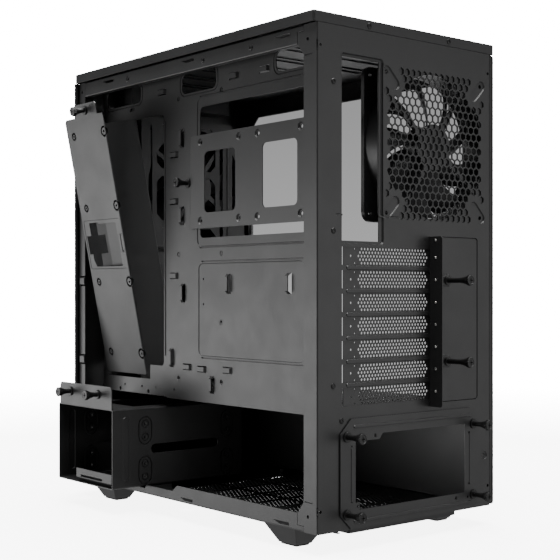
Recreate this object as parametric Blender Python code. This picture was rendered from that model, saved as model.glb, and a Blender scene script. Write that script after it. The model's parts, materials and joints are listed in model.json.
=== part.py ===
"""Desktop computer tower: a mid-size steel case with its right side panel taken off.

Millimetres are used throughout and turned into metres when a mesh is stored. The case's own axes are
X from the glass side (minus) to the open cable side (zero), Y from the front (minus) to the back sheet
(zero), and Z up from the underside of the steel floor. world() moves them to the model's origin, the
middle of the ground footprint.
"""

import math

import bmesh
import bpy
from mathutils import Matrix, Vector

MM = 0.001

# Driving dimensions, in millimetres
CASE_W = 222.0  # steel body, from the open side's plane to the glass side's plane
CASE_D = 396.0  # steel body, from the front plate to the back sheet
CASE_H = 433.8  # steel body, without the top cover and the feet
SHEET = 1.0  # steel sheet thickness
GAP = 0.3  # air left between pieces that touch
BEND = 0.4  # how far a plate stops short of the outside of its fold
STEP = 0.2  # how far a fold stops short of the plate's outer face
FOOT_H = 18.7  # from the ground to the underside of the floor
COVER_OVER = 4.1  # how far the top cover stands past the open side
GLASS_OUT = -228.0  # outer face of the glass
FRONT_Y = -415.0  # front face of the front panel
FRONT_BACK = -396.3  # back edge of the front panel
GLASS_FRONT = -388.7  # front edge of the glass
PILLAR = 17.5  # width of the corner flanges of the back panel
POST = 12.6  # width of the front plate's flange on the open side
POST_LEFT = 20.5  # the same on the glass side
RAIL_H = 15.6  # height of the side rails

TRAY_X = -24.0  # outer face of the motherboard tray
TRAY_Z = 99.0  # lower edge of the tray, and top of the power supply bay
SHROUD_X = -218.0  # wall of the power supply bay, glass side

IO_RECT = (-73.9, 249.7, -29.5, 408.5)  # opening for the motherboard's connectors
FAN_SIZE = 140.0
FAN_DEPTH = 25.0
FAN_HOLE_R = 66.5
REAR_FAN = (-145.8, 338.6)
FRONT_FANS = {"lower": (-140.0, 180.0), "upper": (-140.0, 326.0)}
BRACKET_X = (-190.7, -63.5)  # the sheet behind the front fans
BRACKET_Y = SHEET + GAP - CASE_D + FAN_DEPTH + GAP
BRACKET_Z = (104.0, 402.0)
BRACKET_WINDOWS = 5
BRACKET_PITCH = 58.5

SLOT_COUNT = 7
SLOT_PITCH = 20.32
SLOT_TOP_Z = 236.7
SLOT_OPEN_H = 15.6
SLOT_X = (-142.0, -31.0)
LEDGE_X = -137.0
LEDGE_OUT = 16.1

PSU_OPEN = (-188.0, 5.0, -37.0, 91.0)
PSU_FRAME_OPEN = (-184.1, 16.5, -43.1, 81.0)
PSU_FRAME = (-204.0, 0.4, -25.3, 96.0)
PSU_CHAMFER = 13.0
PSU_SCREWS = {"upper_left": (-33.0, 80.5), "upper_right": (-196.0, 80.5),
              "lower_left": (-33.0, 13.5), "lower_right": (-196.0, 13.5)}
SIDE_PLATE = (-203.0, 104.0, -141.6, 255.5)
SIDE_SCREWS = {"upper": (-160.0, 216.0), "lower": (-160.0, 141.0)}

CAGE_X = (-125.9, 37.2)  # inner and outer end where the cage stands, partly pulled out
CAGE_Y = (-373.8, -266.2)
CAGE_Z = (7.2, 87.2)
CAGE_TAB_TOP = 109.9
CAGE_RUNNER_X = (-200.0, -6.0)  # two ribs of the floor that the cage slides on
CAGE_RUNNERS_Y = (-372.0, -274.0)
CAGE_RUNNER_W = 6.0
CAGE_LIP = (-337.4, 14.8)  # front edge of the cage's lower lip, and its height
CAGE_SLOT = (-93.8, 40.4, -8.8, 49.8)  # cable slot through both walls
CAGE_SCREWS = {"front": (-349.0, 101.0), "back": (-294.5, 101.0)}

COVER_PIVOT = (-22.3, 118.4)  # X and Z of the cable cover's hinge line
COVER_Y = (-373.0, -294.6)
COVER_LENGTH = 275.0
COVER_DEPTH = 40.0
COVER_TILT = math.radians(11.3)
COVER_TAB = (-349.0, -306.0)
COVER_SCREW = (-328.0, 281.0)
COVER_WINDOW = (-359.0, 115.5, -306.0, 163.5)

SSD_Y = (-209.0, -34.0)
SSD_Z = (267.4, 358.6)
SSD_X = -17.0
TRAY_SCREW = (-222.6, 314.0)

GLASS_WINDOW = (-374.7, 30.0, -22.0, 413.5)
GLASS_CORNER = 16.0
RAIL_TOP_LEFT = 414.0  # lower edge of the roof's rail on the glass side
FILTER_X = (-180.0, -42.0)
FILTER_Y = (-262.0, -6.0)
FOOT_TOP = (36.0, 43.0)
FOOT_BOTTOM = (18.0, 24.0)
FEET = {"front_right": (-21.0, -351.5), "rear_right": (-21.0, -53.5),
        "front_left": (-201.0, -351.5), "rear_left": (-201.0, -53.5)}
PAD_T = 1.4

SCREW_R = 1.8  # thread of every thumbscrew
SCREW_HOLE = 2.4
HEAD_R = 4.9
WASHER_R = 4.6
NECK_R = 2.6
CHAMFER = 0.8
SHORT_NECK = (1.2, 7.0, 15.5)  # heights of the washer, the neck and the head of a thumbscrew
PSU_NECK = (1.2, 10.0, 20.0)
LONG_NECK = (1.2, 18.0, 29.0)
THREAD = 3.0  # thread behind the sheet

POWER_X = -60.0
RESET_X = -80.0
USB_X = (-104.0, -128.0)
USB_SIZE = (13.4, 5.8)
AUDIO_X = (-148.0, -160.0)
AUDIO_R = 2.0
PORTS_Y = -371.0
BUTTONS = {"power_button": (POWER_X, 7.5), "reset_button": (RESET_X, 3.2)}
COVER_TOP = 443.9

X_MAX = CAGE_X[1] + SHORT_NECK[2] + GAP
Y_MAX = SHEET + GAP + LONG_NECK[2] + GAP
ORIGIN = ((X_MAX + GLASS_OUT) / 2, (Y_MAX + FRONT_Y) / 2, -FOOT_H)

COLOURS = {
    "steel": ((0.030, 0.030, 0.031, 1.0), 0.55, 0.3),
    "plastic": ((0.014, 0.014, 0.015, 1.0), 0.45, 0.0),
    "glass": ((0.10, 0.10, 0.11, 0.35), 0.05, 0.0),
    "rubber": ((0.010, 0.010, 0.010, 1.0), 0.85, 0.0),
    "screw": ((0.012, 0.012, 0.012, 1.0), 0.40, 0.6),
    "mesh": ((0.015, 0.015, 0.015, 1.0), 0.80, 0.0),
}


def world(x, y, z):
    """A point of the case's own axes as a place in the model, in metres."""
    return Vector((x - ORIGIN[0], y - ORIGIN[1], z - ORIGIN[2])) * MM


# Outlines in a plane, as lists of corner points

def rectangle(x0, y0, x1, y1):
    return [(x0, y0), (x1, y0), (x1, y1), (x0, y1)]


def rounded(x0, y0, x1, y1, radius, steps=3):
    """A rectangle with round corners."""
    centres = [(x1 - radius, y1 - radius), (x0 + radius, y1 - radius),
               (x0 + radius, y0 + radius), (x1 - radius, y0 + radius)]
    points = []
    for quarter, (cx, cy) in enumerate(centres):
        for step in range(steps + 1):
            angle = (quarter + step / steps) * math.pi / 2
            points.append((cx + radius * math.cos(angle), cy + radius * math.sin(angle)))
    return points


def tab_outline(x0, y0, x1, y1, radius, steps=3):
    """A rectangle whose two upper corners are round."""
    return [(x0, y0), (x1, y0), *rounded(x0, y0, x1, y1, radius, steps)[:2 * (steps + 1)]]


def circle(x, y, radius, sides, turn=0.0):
    angles = [turn + 2 * math.pi * i / sides for i in range(sides)]
    return [(x + radius * math.cos(a), y + radius * math.sin(a)) for a in angles]


def chamfered(x0, y0, x1, y1, cut):
    return [(x0 + cut, y0), (x1 - cut, y0), (x1, y0 + cut), (x1, y1 - cut),
            (x1 - cut, y1), (x0 + cut, y1), (x0, y1 - cut), (x0, y0 + cut)]


# Closed solids, each added to a bmesh

AXES = {"X": lambda a, b, c: (c, a, b), "Y": lambda a, b, c: (a, c, b), "Z": lambda a, b, c: (a, b, c)}


def add_sheet(bm, normal, low, high, outline, holes=()):
    """A flat plate: an outline with holes, filled at two levels along its normal and joined by its edges."""
    place = AXES[normal]
    edges, above = [], {}
    for loop in [outline, *holes]:
        under = [bm.verts.new(place(a, b, low)) for a, b in loop]
        over = [bm.verts.new(place(a, b, high)) for a, b in loop]
        above.update(zip(under, over))
        edges += [bm.edges.new((under[i - 1], under[i])) for i in range(len(under))]
    filled = bmesh.ops.triangle_fill(bm, edges=edges, use_beauty=True)["geom"]
    for face in [g for g in filled if isinstance(g, bmesh.types.BMFace)]:
        bm.faces.new([above[vert] for vert in reversed(face.verts)])
    for edge in edges:
        first, second = edge.verts
        bm.faces.new((first, second, above[second], above[first]))


def add_box(bm, low, high):
    centre = [(a + b) / 2 for a, b in zip(low, high)]
    size = [abs(b - a) for a, b in zip(low, high)]
    bmesh.ops.create_cube(bm, size=1.0, matrix=Matrix.Translation(centre) @ Matrix.Diagonal((*size, 1.0)))


def add_loft(bm, loops):
    """A closed skin through loops of equally many points, flat at both ends."""
    rows = [[bm.verts.new(p) for p in loop] for loop in loops]
    for lower, upper in zip(rows, rows[1:]):
        for i in range(len(lower)):
            bm.faces.new((lower[i - 1], lower[i], upper[i], upper[i - 1]))
    bm.faces.new(rows[0])
    bm.faces.new(rows[-1])


def add_turned(bm, profile, sides):
    """A solid of revolution about Z through (radius, height) points."""
    add_loft(bm, [[(x, y, height) for x, y in circle(0, 0, radius, sides)] for radius, height in profile])


# Objects

def material(kind):
    if kind in bpy.data.materials:
        return bpy.data.materials[kind]
    colour, roughness, metallic = COLOURS[kind]
    made = bpy.data.materials.new(kind)
    made.use_nodes = True
    shader = made.node_tree.nodes["Principled BSDF"]
    shader.inputs["Base Color"].default_value = colour
    shader.inputs["Roughness"].default_value = roughness
    shader.inputs["Metallic"].default_value = metallic
    shader.inputs["Alpha"].default_value = colour[3]
    return made


def make_object(name, bm, kind, anchor=(0, 0, 0), smooth=False):
    """Stores a bmesh drawn in the case's axes, with the object's origin at the anchor point."""
    bmesh.ops.translate(bm, verts=bm.verts, vec=-Vector(anchor))
    bmesh.ops.scale(bm, verts=bm.verts, vec=(MM, MM, MM))
    bmesh.ops.recalc_face_normals(bm, faces=bm.faces)
    mesh = bpy.data.meshes.new(name)
    bm.to_mesh(mesh)
    bm.free()
    if smooth:
        mesh.shade_smooth()
        mesh.set_sharp_from_angle(angle=math.radians(35))
    mesh.materials.append(material(kind))
    made = bpy.data.objects.new(name, mesh)
    made.location = world(*anchor)
    bpy.context.scene.collection.objects.link(made)
    return made


def combine(target, operation, bm, label):
    """Adds an exact Boolean with a tool drawn in the case's axes, about the target's own anchor."""
    bmesh.ops.recalc_face_normals(bm, faces=bm.faces)
    mesh = bpy.data.meshes.new(label)
    bm.to_mesh(mesh)
    bm.free()
    tool = bpy.data.objects.new(label, mesh)
    tool.matrix_world = Matrix.Translation(world(0, 0, 0)) @ Matrix.Scale(MM, 4)
    tool.hide_render = True
    tool.display_type = "WIRE"
    bpy.context.scene.collection.objects.link(tool)
    boolean = target.modifiers.new(label, "BOOLEAN")
    boolean.operation = operation
    boolean.solver = "EXACT"
    boolean.object = tool
    return tool


def bend_x(side):
    """X range of a fold on the open side (0) or on the glass side (1)."""
    return (-SHEET, 0.0) if side == 0 else (-CASE_W, SHEET - CASE_W)


def fuse_boxes(target, boxes):
    for number, (low, high) in enumerate(boxes):
        bm = bmesh.new()
        add_box(bm, low, high)
        combine(target, "UNION", bm, f"{target.name}_fold_{number}")


def screw_hole(centre):
    return circle(centre[0], centre[1], SCREW_HOLE, 10)


# Steel body

def slot_heights():
    return [SLOT_TOP_Z - SLOT_PITCH * i for i in range(SLOT_COUNT)]


def back_vent():
    """Seven coarse hexagonal air holes behind the fan: one in the middle and a ring of six."""
    pitch, radius = 41.0, 20.5
    centres = [(0.0, 0.0), *circle(0.0, 0.0, pitch, 6)]
    return [circle(REAR_FAN[0] + x, REAR_FAN[1] + z, radius, 6, math.pi / 6) for x, z in centres]


def rear_panel():
    openings = [rectangle(*IO_RECT), rectangle(*PSU_OPEN)]
    for z in slot_heights():
        openings.append(rectangle(SLOT_X[0], z - SLOT_OPEN_H / 2, SLOT_X[1], z + SLOT_OPEN_H / 2))
    openings += back_vent()
    openings += [screw_hole(c) for c in [*PSU_SCREWS.values(), *SIDE_SCREWS.values()]]
    bm = bmesh.new()
    add_sheet(bm, "Y", -SHEET, 0.0, rectangle(BEND - CASE_W, 0.0, -BEND, CASE_H), openings)
    panel = make_object("rear_panel", bm, "steel")
    pillars = [((bend_x(side)[0], -PILLAR, STEP), (bend_x(side)[1], -STEP, CASE_H - STEP)) for side in (0, 1)]
    fuse_boxes(panel, [*pillars, ((LEDGE_X - SHEET, -SHEET / 2, 100.3), (LEDGE_X, LEDGE_OUT, 256.0))])


def plan_outline():
    """The floor's and the roof's outline, notched around the corner flanges."""
    front, back = GAP + SHEET - CASE_D, -SHEET - GAP
    inner, side = -SHEET - GAP, -CASE_W
    post, post_left, pillar = rail_ends()
    return [(side - inner, front), (inner, front), (inner, post), (-BEND, post), (-BEND, pillar),
            (inner, pillar), (inner, back), (side - inner, back), (side - inner, pillar),
            (side + BEND, pillar), (side + BEND, post_left), (side - inner, post_left)]


def rail_ends():
    """Y of the rails' front ends on the open and the glass side, and of their common back end."""
    return POST - CASE_D + GAP, POST_LEFT - CASE_D + GAP, -PILLAR - GAP


def chassis_floor():
    vents = []
    for row in range(10):
        y = -62.0 - 19.0 * row
        vents.append(rounded(-172.0, y - 4.0, -50.0, y + 4.0, 3.9, 2))
    bm = bmesh.new()
    add_sheet(bm, "Z", 0.0, SHEET, plan_outline(), vents)
    floor = make_object("chassis_floor", bm, "steel")
    post, post_left, pillar = rail_ends()
    (right_in, right_out), (left_out, left_in) = bend_x(0), bend_x(1)
    fuse_boxes(floor, [
        ((right_in, -209.0, STEP), (right_out, pillar, RAIL_H)),
        ((right_in, post, STEP), (right_out, -246.0, 5.7)),
        ((left_out, post_left, STEP), (left_in, pillar, RAIL_H)),
        *[((CAGE_RUNNER_X[0], y, SHEET / 2), (CAGE_RUNNER_X[1], y + CAGE_RUNNER_W, CAGE_Z[0] - GAP))
          for y in CAGE_RUNNERS_Y],
    ])
    depth, lip = -6.5, 4.0
    for name, wall, inward in (("left", FILTER_X[0] - 1.6, 1.0), ("right", FILTER_X[1] + 1.6, -1.0)):
        lip_x = wall + lip * inward
        bm = bmesh.new()
        add_sheet(bm, "Y", FILTER_Y[0], -20.0, [
            (wall, SHEET / 2), (wall, depth), (lip_x, depth), (lip_x, depth + 0.9),
            (wall + inward, depth + 0.9), (wall + inward, SHEET / 2)])
        combine(floor, "UNION", bm, f"filter_guide_{name}")


def top_frame():
    vents = [rounded(-190.0, y - 12.0, -45.0, y + 12.0, 6.0, 2) for y in range(-320, -40, 45)]
    vents.append(rectangle(-182.0, -386.0, -40.0, -356.0))
    bm = bmesh.new()
    add_sheet(bm, "Z", CASE_H - SHEET, CASE_H, plan_outline(), vents)
    frame = make_object("top_frame", bm, "steel")
    post, post_left, pillar = rail_ends()
    (right_in, right_out), (left_out, left_in) = bend_x(0), bend_x(1)
    fuse_boxes(frame, [
        ((right_in, post, 418.0), (right_out, pillar, CASE_H - STEP)),
        ((left_out, post_left, RAIL_TOP_LEFT), (left_in, pillar, CASE_H - STEP)),
    ])


def front_frame():
    openings = [circle(x, z, FAN_HOLE_R - 1.0, 32) for x, z in FRONT_FANS.values()]
    bm = bmesh.new()
    add_sheet(bm, "Y", -CASE_D, SHEET - CASE_D, rectangle(BEND - CASE_W, 0.0, -BEND, CASE_H), openings)
    frame = make_object("front_frame", bm, "steel")
    folds = []
    for side, depth in enumerate((POST, POST_LEFT)):
        low_x, high_x = bend_x(side)
        folds.append(((low_x, STEP - CASE_D, STEP), (high_x, depth - CASE_D, CASE_H - STEP)))
    fuse_boxes(frame, folds)


def fan_bracket():
    """An upright sheet between the front fans and the inside, with a column of air windows."""
    low_x, high_x = BRACKET_X
    holes = []
    for number in range(BRACKET_WINDOWS):
        z = BRACKET_Z[0] + 32.0 + BRACKET_PITCH * number
        holes.append(chamfered(-166.0, z - 25.0, -84.0, z + 25.0, 7.0))
    for x in (-174.6, -75.4):
        for number in range(2):
            z = BRACKET_Z[0] + 10.0 + 150.0 * number
            holes.append(rectangle(x - 2.4, z, x + 2.4, z + 130.0))
    bm = bmesh.new()
    add_sheet(bm, "Y", BRACKET_Y, BRACKET_Y + SHEET, rectangle(low_x, BRACKET_Z[0], high_x, BRACKET_Z[1]), holes)
    make_object("fan_bracket", bm, "steel")


TRAY_CUTS = {
    "processor": (-202.7, 258.5, -36.0, 388.0),
    "cables_front": (-376.0, 405.5, -308.6, 424.0),
    "cables_middle": (-233.0, 404.0, -175.5, 424.0),
    "cables_back": (-84.0, 405.5, -28.0, 424.0),
}
COVER_CUT = [(-376.0, 114.0), (-291.0, 114.0), (-291.0, 129.0), (-268.0, 129.0), (-265.3, 131.7),
             (-265.3, 388.0), (-376.0, 388.0)]


def motherboard_tray():
    notch = []
    for y in sorted(y for y, _ in CAGE_SCREWS.values()):
        notch += [(y - 3.5, TRAY_Z), (y - 3.5, TRAY_Z + 5.5), (y + 3.5, TRAY_Z + 5.5), (y + 3.5, TRAY_Z)]
    outline = [(POST - CASE_D + GAP, TRAY_Z), *notch, (-SHEET - GAP, TRAY_Z),
               (-SHEET - GAP, CASE_H - SHEET - GAP), (POST - CASE_D + GAP, CASE_H - SHEET - GAP)]
    holes = [rounded(*cut, 4.0) for cut in TRAY_CUTS.values()]
    closed_screw = (COVER_SCREW[0], COVER_PIVOT[1] + COVER_SCREW[1])
    holes += [COVER_CUT, screw_hole(TRAY_SCREW), screw_hole(closed_screw)]
    bm = bmesh.new()
    add_sheet(bm, "X", TRAY_X - SHEET, TRAY_X, outline, holes)
    make_object("motherboard_tray", bm, "steel")


def psu_shroud():
    front, back = GAP + SHEET - CASE_D, -SHEET - GAP
    bm = bmesh.new()
    add_sheet(bm, "Y", front, back, [
        (SHROUD_X, SHEET + GAP), (SHROUD_X + SHEET, SHEET + GAP), (SHROUD_X + SHEET, TRAY_Z),
        (-28.0, TRAY_Z), (-28.0, TRAY_Z + SHEET), (SHROUD_X, TRAY_Z + SHEET)])
    make_object("psu_shroud", bm, "steel")


# Covers and panels

def port_holes(room):
    """Outlines of the openings over the top buttons and sockets, the buttons' with some room around them."""
    width, depth = USB_SIZE
    holes = [circle(x, PORTS_Y, radius + room, 24) for x, radius in BUTTONS.values()]
    low_y, high_y = PORTS_Y - depth / 2, PORTS_Y + depth / 2
    holes += [rectangle(x - width / 2, low_y, x + width / 2, high_y) for x in USB_X]
    return holes + [circle(x, PORTS_Y, AUDIO_R, 12) for x in AUDIO_X]


def top_cover():
    wall = 1.2
    low_x, high_x, low_y, high_y = GLASS_OUT, COVER_OVER, -398.0, 0.0
    bm = bmesh.new()
    add_sheet(bm, "Z", COVER_TOP - wall, COVER_TOP,
              rectangle(low_x + BEND, low_y + BEND, high_x - BEND, high_y - BEND), port_holes(0.4))
    cover = make_object("top_cover", bm, "steel")
    bm = bmesh.new()
    add_sheet(bm, "Z", CASE_H + GAP, COVER_TOP - STEP, rectangle(low_x, low_y, high_x, high_y),
              [rectangle(low_x + wall, low_y + wall, high_x - wall, high_y - wall)])
    combine(cover, "UNION", bm, "top_cover_skirt")


def front_panel():
    """A hollow plastic front, open at the back, with sloped edges and air slots in the two long slopes."""
    slope, wall = 16.0, 2.8
    back, shoulder = FRONT_BACK, FRONT_Y + slope

    def ring(inset, y):
        x0, x1, z0, z1 = GLASS_OUT + inset, COVER_OVER - inset, GAP + inset, CASE_H - inset
        return [(x0, y, z0), (x1, y, z0), (x1, y, z1), (x0, y, z1)]

    bm = bmesh.new()
    outer = [ring(0, back), ring(0, shoulder), ring(slope, FRONT_Y)]
    inner = [ring(wall + slope, FRONT_Y + wall), ring(wall, shoulder + wall * 0.6), ring(wall, back)]
    rows = [[bm.verts.new(p) for p in loop] for loop in outer + inner]
    for first, second in [(0, 1), (1, 2), (3, 4), (4, 5), (5, 0)]:
        for i in range(4):
            bm.faces.new((rows[first][i - 1], rows[first][i], rows[second][i], rows[second][i - 1]))
    bm.faces.new(rows[2])
    bm.faces.new(rows[3])
    panel = make_object("front_panel", bm, "plastic")
    bm = bmesh.new()
    middle_y = FRONT_Y + slope / 2
    for x in (GLASS_OUT + slope / 2, COVER_OVER - slope / 2):
        for z in range(70, 400, 60):
            add_box(bm, (x - 9.0, middle_y - 3.0, z - 22.0), (x + 9.0, middle_y + 3.0, z + 22.0))
    combine(panel, "DIFFERENCE", bm, "front_panel_slots")


def front_filter():
    bm = bmesh.new()
    add_box(bm, (-211.0, -399.8, 60.0), (-13.0, -398.4, 420.0))
    make_object("front_filter", bm, "mesh")


def glass_side():
    bm = bmesh.new()
    add_box(bm, (GLASS_OUT, GLASS_FRONT, GAP), (GLASS_OUT + 4.0, -0.2, CASE_H - 0.1))
    make_object("glass_panel", bm, "glass")
    bm = bmesh.new()
    add_sheet(bm, "X", GLASS_OUT + 4.0 + GAP, -CASE_W - GAP, rectangle(-388.0, 1.0, -0.5, 433.0),
              [chamfered(*GLASS_WINDOW, GLASS_CORNER)])
    make_object("glass_carrier", bm, "steel")


def port_module():
    low, middle, high = 412.0, 421.0, COVER_TOP - 1.2 - GAP
    bm = bmesh.new()
    add_sheet(bm, "Z", middle, high, rectangle(-178.0, -384.0, -44.0, -358.0), port_holes(0.7))
    module = make_object("port_module", bm, "plastic")
    fuse_boxes(module, [((-178.4, -384.4, low), (-43.6, -357.6, middle + 1.0))])


def buttons():
    for name, (x, radius) in BUTTONS.items():
        bm = bmesh.new()
        add_turned(bm, [(radius, 0.0), (radius, 7.0), (radius - 0.5, 7.6)], 24)
        button = make_object(name, bm, "plastic", smooth=True)
        button.location = world(x, PORTS_Y, 437.0)


# Fans

def fan(name, x, y_low, z):
    """A square fan frame with its motor mount, and the rotor that turns in it."""
    half = FAN_SIZE / 2
    bm = bmesh.new()
    add_sheet(bm, "Y", y_low, y_low + FAN_DEPTH, rounded(x - half, z - half, x + half, z + half, 9.0),
              [circle(x, z, FAN_HOLE_R, 32)])
    frame = make_object(f"{name}_frame", bm, "plastic", smooth=True)
    strut_y = (y_low + FAN_DEPTH - 3.0, y_low + FAN_DEPTH)
    bm = bmesh.new()
    add_sheet(bm, "Y", *strut_y, circle(x, z, 21.0, 24))
    combine(frame, "UNION", bm, f"{name}_motor_mount")
    for number in range(2):
        bm = bmesh.new()
        add_box(bm, (-half + 2.0, STEP, -2.5), (half - 2.0, strut_y[1] - strut_y[0] - STEP, 2.5))
        turn = Matrix.Rotation(math.radians(30 + 90 * number), 4, "Y")
        bmesh.ops.transform(bm, matrix=Matrix.Translation((x, strut_y[0], z)) @ turn, verts=bm.verts)
        combine(frame, "UNION", bm, f"{name}_strut_{number}")

    hub_low = y_low + 2.0
    bm = bmesh.new()
    add_sheet(bm, "Y", hub_low, hub_low + 17.0, circle(x, z, 20.0, 24))
    rotor = make_object(f"{name}_rotor", bm, "plastic", anchor=(x, hub_low, z), smooth=True)
    bm = bmesh.new()
    for number in range(7):
        blade = bmesh.new()
        loops = []
        for radius, lean, width in ((17.0, 0.95, 15.0), (40.0, 0.70, 20.0), (63.5, 0.50, 23.0)):
            along = Vector((math.cos(lean), math.sin(lean), 0)) * width / 2
            across = Vector((-math.sin(lean), math.cos(lean), 0)) * 0.9
            sweep = (radius - 17.0) * 0.12
            centre = Vector((sweep, 8.5, radius))
            loops.append([centre + along + across, centre - along + across,
                          centre - along - across, centre + along - across])
        add_loft(blade, loops)
        turn = Matrix.Rotation(2 * math.pi * number / 7, 4, "Y")
        bmesh.ops.transform(blade, matrix=Matrix.Translation((x, hub_low, z)) @ turn, verts=blade.verts)
        held = bpy.data.meshes.new("blade")
        blade.to_mesh(held)
        blade.free()
        bm.from_mesh(held)
        bpy.data.meshes.remove(held)
    combine(rotor, "UNION", bm, f"{name}_blades")


# Screws

def thumbscrew(name, anchor, direction, heights, parent=None):
    """A captive thumbscrew along +X or +Y: thread behind the sheet, washer, neck and head."""
    washer, neck, head = heights
    profile = [(SCREW_R, -THREAD - GAP), (SCREW_R, 0.0), (WASHER_R, 0.0), (WASHER_R, washer),
               (NECK_R, washer), (NECK_R, neck), (HEAD_R - CHAMFER, neck), (HEAD_R, neck + CHAMFER),
               (HEAD_R, head - CHAMFER), (HEAD_R - CHAMFER, head)]
    bm = bmesh.new()
    add_turned(bm, profile, 14)
    screw = make_object(name, bm, "screw", smooth=True)
    turn = Matrix.Rotation(math.pi / 2, 4, "Y") if direction == "X" else Matrix.Rotation(-math.pi / 2, 4, "X")
    if parent is None:
        screw.matrix_world = Matrix.Translation(world(*anchor)) @ turn
    else:
        screw.parent = parent
        screw.matrix_local = Matrix.Translation(Vector(anchor) * MM) @ turn
    return screw


# Back of the case

def slot_covers():
    for number, z in enumerate(slot_heights(), start=1):
        rows = [rectangle(-134.0, z + dz - 0.9, -48.5, z + dz + 0.9) for dz in (-5.4, -1.8, 1.8, 5.4)]
        bm = bmesh.new()
        add_sheet(bm, "Y", -2 * SHEET - GAP, -SHEET - GAP, rectangle(-140.0, z - 9.3, -27.0, z + 9.3), rows)
        cover = make_object(f"slot_cover_{number}", bm, "steel")
        tab = ((-140.4, STEP - 2 * SHEET - GAP, z - 7.0), (-139.4, 11.0, z + 7.0))
        fuse_boxes(cover, [tab])


def slot_side_plate():
    bm = bmesh.new()
    add_sheet(bm, "Y", GAP, GAP + SHEET, rounded(*SIDE_PLATE, 3.0),
              [screw_hole(c) for c in SIDE_SCREWS.values()])
    make_object("slot_side_plate", bm, "steel")
    for name, (x, z) in SIDE_SCREWS.items():
        thumbscrew(f"side_plate_screw_{name}", (x, 2 * GAP + SHEET, z), "Y", LONG_NECK)


def psu_bracket():
    bm = bmesh.new()
    add_sheet(bm, "Y", GAP, GAP + SHEET, chamfered(*PSU_FRAME, PSU_CHAMFER),
              [rectangle(*PSU_FRAME_OPEN), *[screw_hole(c) for c in PSU_SCREWS.values()]])
    make_object("psu_bracket", bm, "steel")
    for name, (x, z) in PSU_SCREWS.items():
        thumbscrew(f"psu_screw_{name}", (x, 2 * GAP + SHEET, z), "Y", PSU_NECK)


# Drive mounts

def hdd_cage():
    (x0, x1), (y0, y1), (z0, z1) = CAGE_X, CAGE_Y, CAGE_Z
    bm = bmesh.new()
    add_sheet(bm, "X", x0, x1, rectangle(y0, z0, y1, z1),
              [rectangle(y0 + SHEET, z0 + SHEET, y1 - SHEET, z1 - SHEET)])
    anchor = (x1, (y0 + y1) / 2, z0)
    cage = make_object("hdd_cage", bm, "steel", anchor=anchor)
    bm = bmesh.new()
    tab_x = (x1 - SHEET - STEP, x1 - STEP)
    add_sheet(bm, "X", *tab_x, tab_outline(y0 + 2.0, z1 - SHEET / 2, y1 - 2.0, CAGE_TAB_TOP, 3.0),
              [screw_hole(c) for c in CAGE_SCREWS.values()])
    combine(cage, "UNION", bm, "cage_tab")
    lip_y, lip_height = CAGE_LIP
    fuse_boxes(cage, [((tab_x[0], lip_y, z0 + SHEET / 2), (tab_x[1], y1 - SHEET / 2, z0 + lip_height))])
    cut = bmesh.new()
    add_box(cut, (CAGE_SLOT[0], y0 - 2.0, CAGE_SLOT[1]), (CAGE_SLOT[2], y1 + 2.0, CAGE_SLOT[3]))
    combine(cage, "DIFFERENCE", cut, "cage_cable_slot")
    for name, (y, z) in CAGE_SCREWS.items():
        thumbscrew(f"cage_screw_{name}", (x1 + GAP, y, z), "X", SHORT_NECK)


def cable_cover():
    """A deep channel leaning out of the tray, drawn upright and turned about its lower edge."""
    pivot_x, pivot_z = COVER_PIVOT
    anchor = (pivot_x, sum(COVER_Y) / 2, pivot_z)
    y0, y1 = COVER_Y
    hinge = bpy.data.objects.new("cable_cover_hinge", None)
    hinge.location = world(*anchor)
    hinge.rotation_euler = (0.0, COVER_TILT, 0.0)
    bpy.context.scene.collection.objects.link(hinge)

    window = rounded(*COVER_WINDOW, 2.0, 2)
    tab = tab_outline(COVER_TAB[0], COVER_LENGTH, COVER_TAB[1], 288.0, 3.0)
    outline = [(y0 + BEND, 0.0), (y1 - BEND, 0.0), (y1 - BEND, COVER_LENGTH), *tab[1:], tab[0],
               (y0 + BEND, COVER_LENGTH)]
    bm = bmesh.new()
    add_sheet(bm, "X", -SHEET, 0.0, outline, [window, screw_hole(COVER_SCREW)])
    folds = [((-COVER_DEPTH, y0, 4.0), (-STEP, y0 + SHEET, 264.0)),
             ((-COVER_DEPTH, y1 - SHEET, 4.0), (-STEP, y1, 264.0))]
    cover = make_local("cable_cover", bm, "steel", anchor, hinge)
    for number, (low, high) in enumerate(folds):
        fold = bmesh.new()
        add_box(fold, low, high)
        combine_local(cover, "UNION", fold, f"cable_cover_fold_{number}", anchor, hinge)
    thumbscrew("cable_cover_screw", (GAP, COVER_SCREW[0] - anchor[1], COVER_SCREW[1]), "X", SHORT_NECK, hinge)


def make_local(name, bm, kind, anchor, parent):
    """Stores a bmesh drawn in the case's Y but in X and Z from the hinge line, under the hinge."""
    bmesh.ops.translate(bm, verts=bm.verts, vec=(0.0, -anchor[1], 0.0))
    made = make_object(name, bm, kind)
    made.location = (0.0, 0.0, 0.0)
    made.parent = parent
    return made


def combine_local(target, operation, bm, label, anchor, parent):
    bmesh.ops.translate(bm, verts=bm.verts, vec=(0.0, -anchor[1], 0.0))
    tool = combine(target, operation, bm, label)
    tool.matrix_world = Matrix.Scale(MM, 4)
    tool.parent = parent


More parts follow.
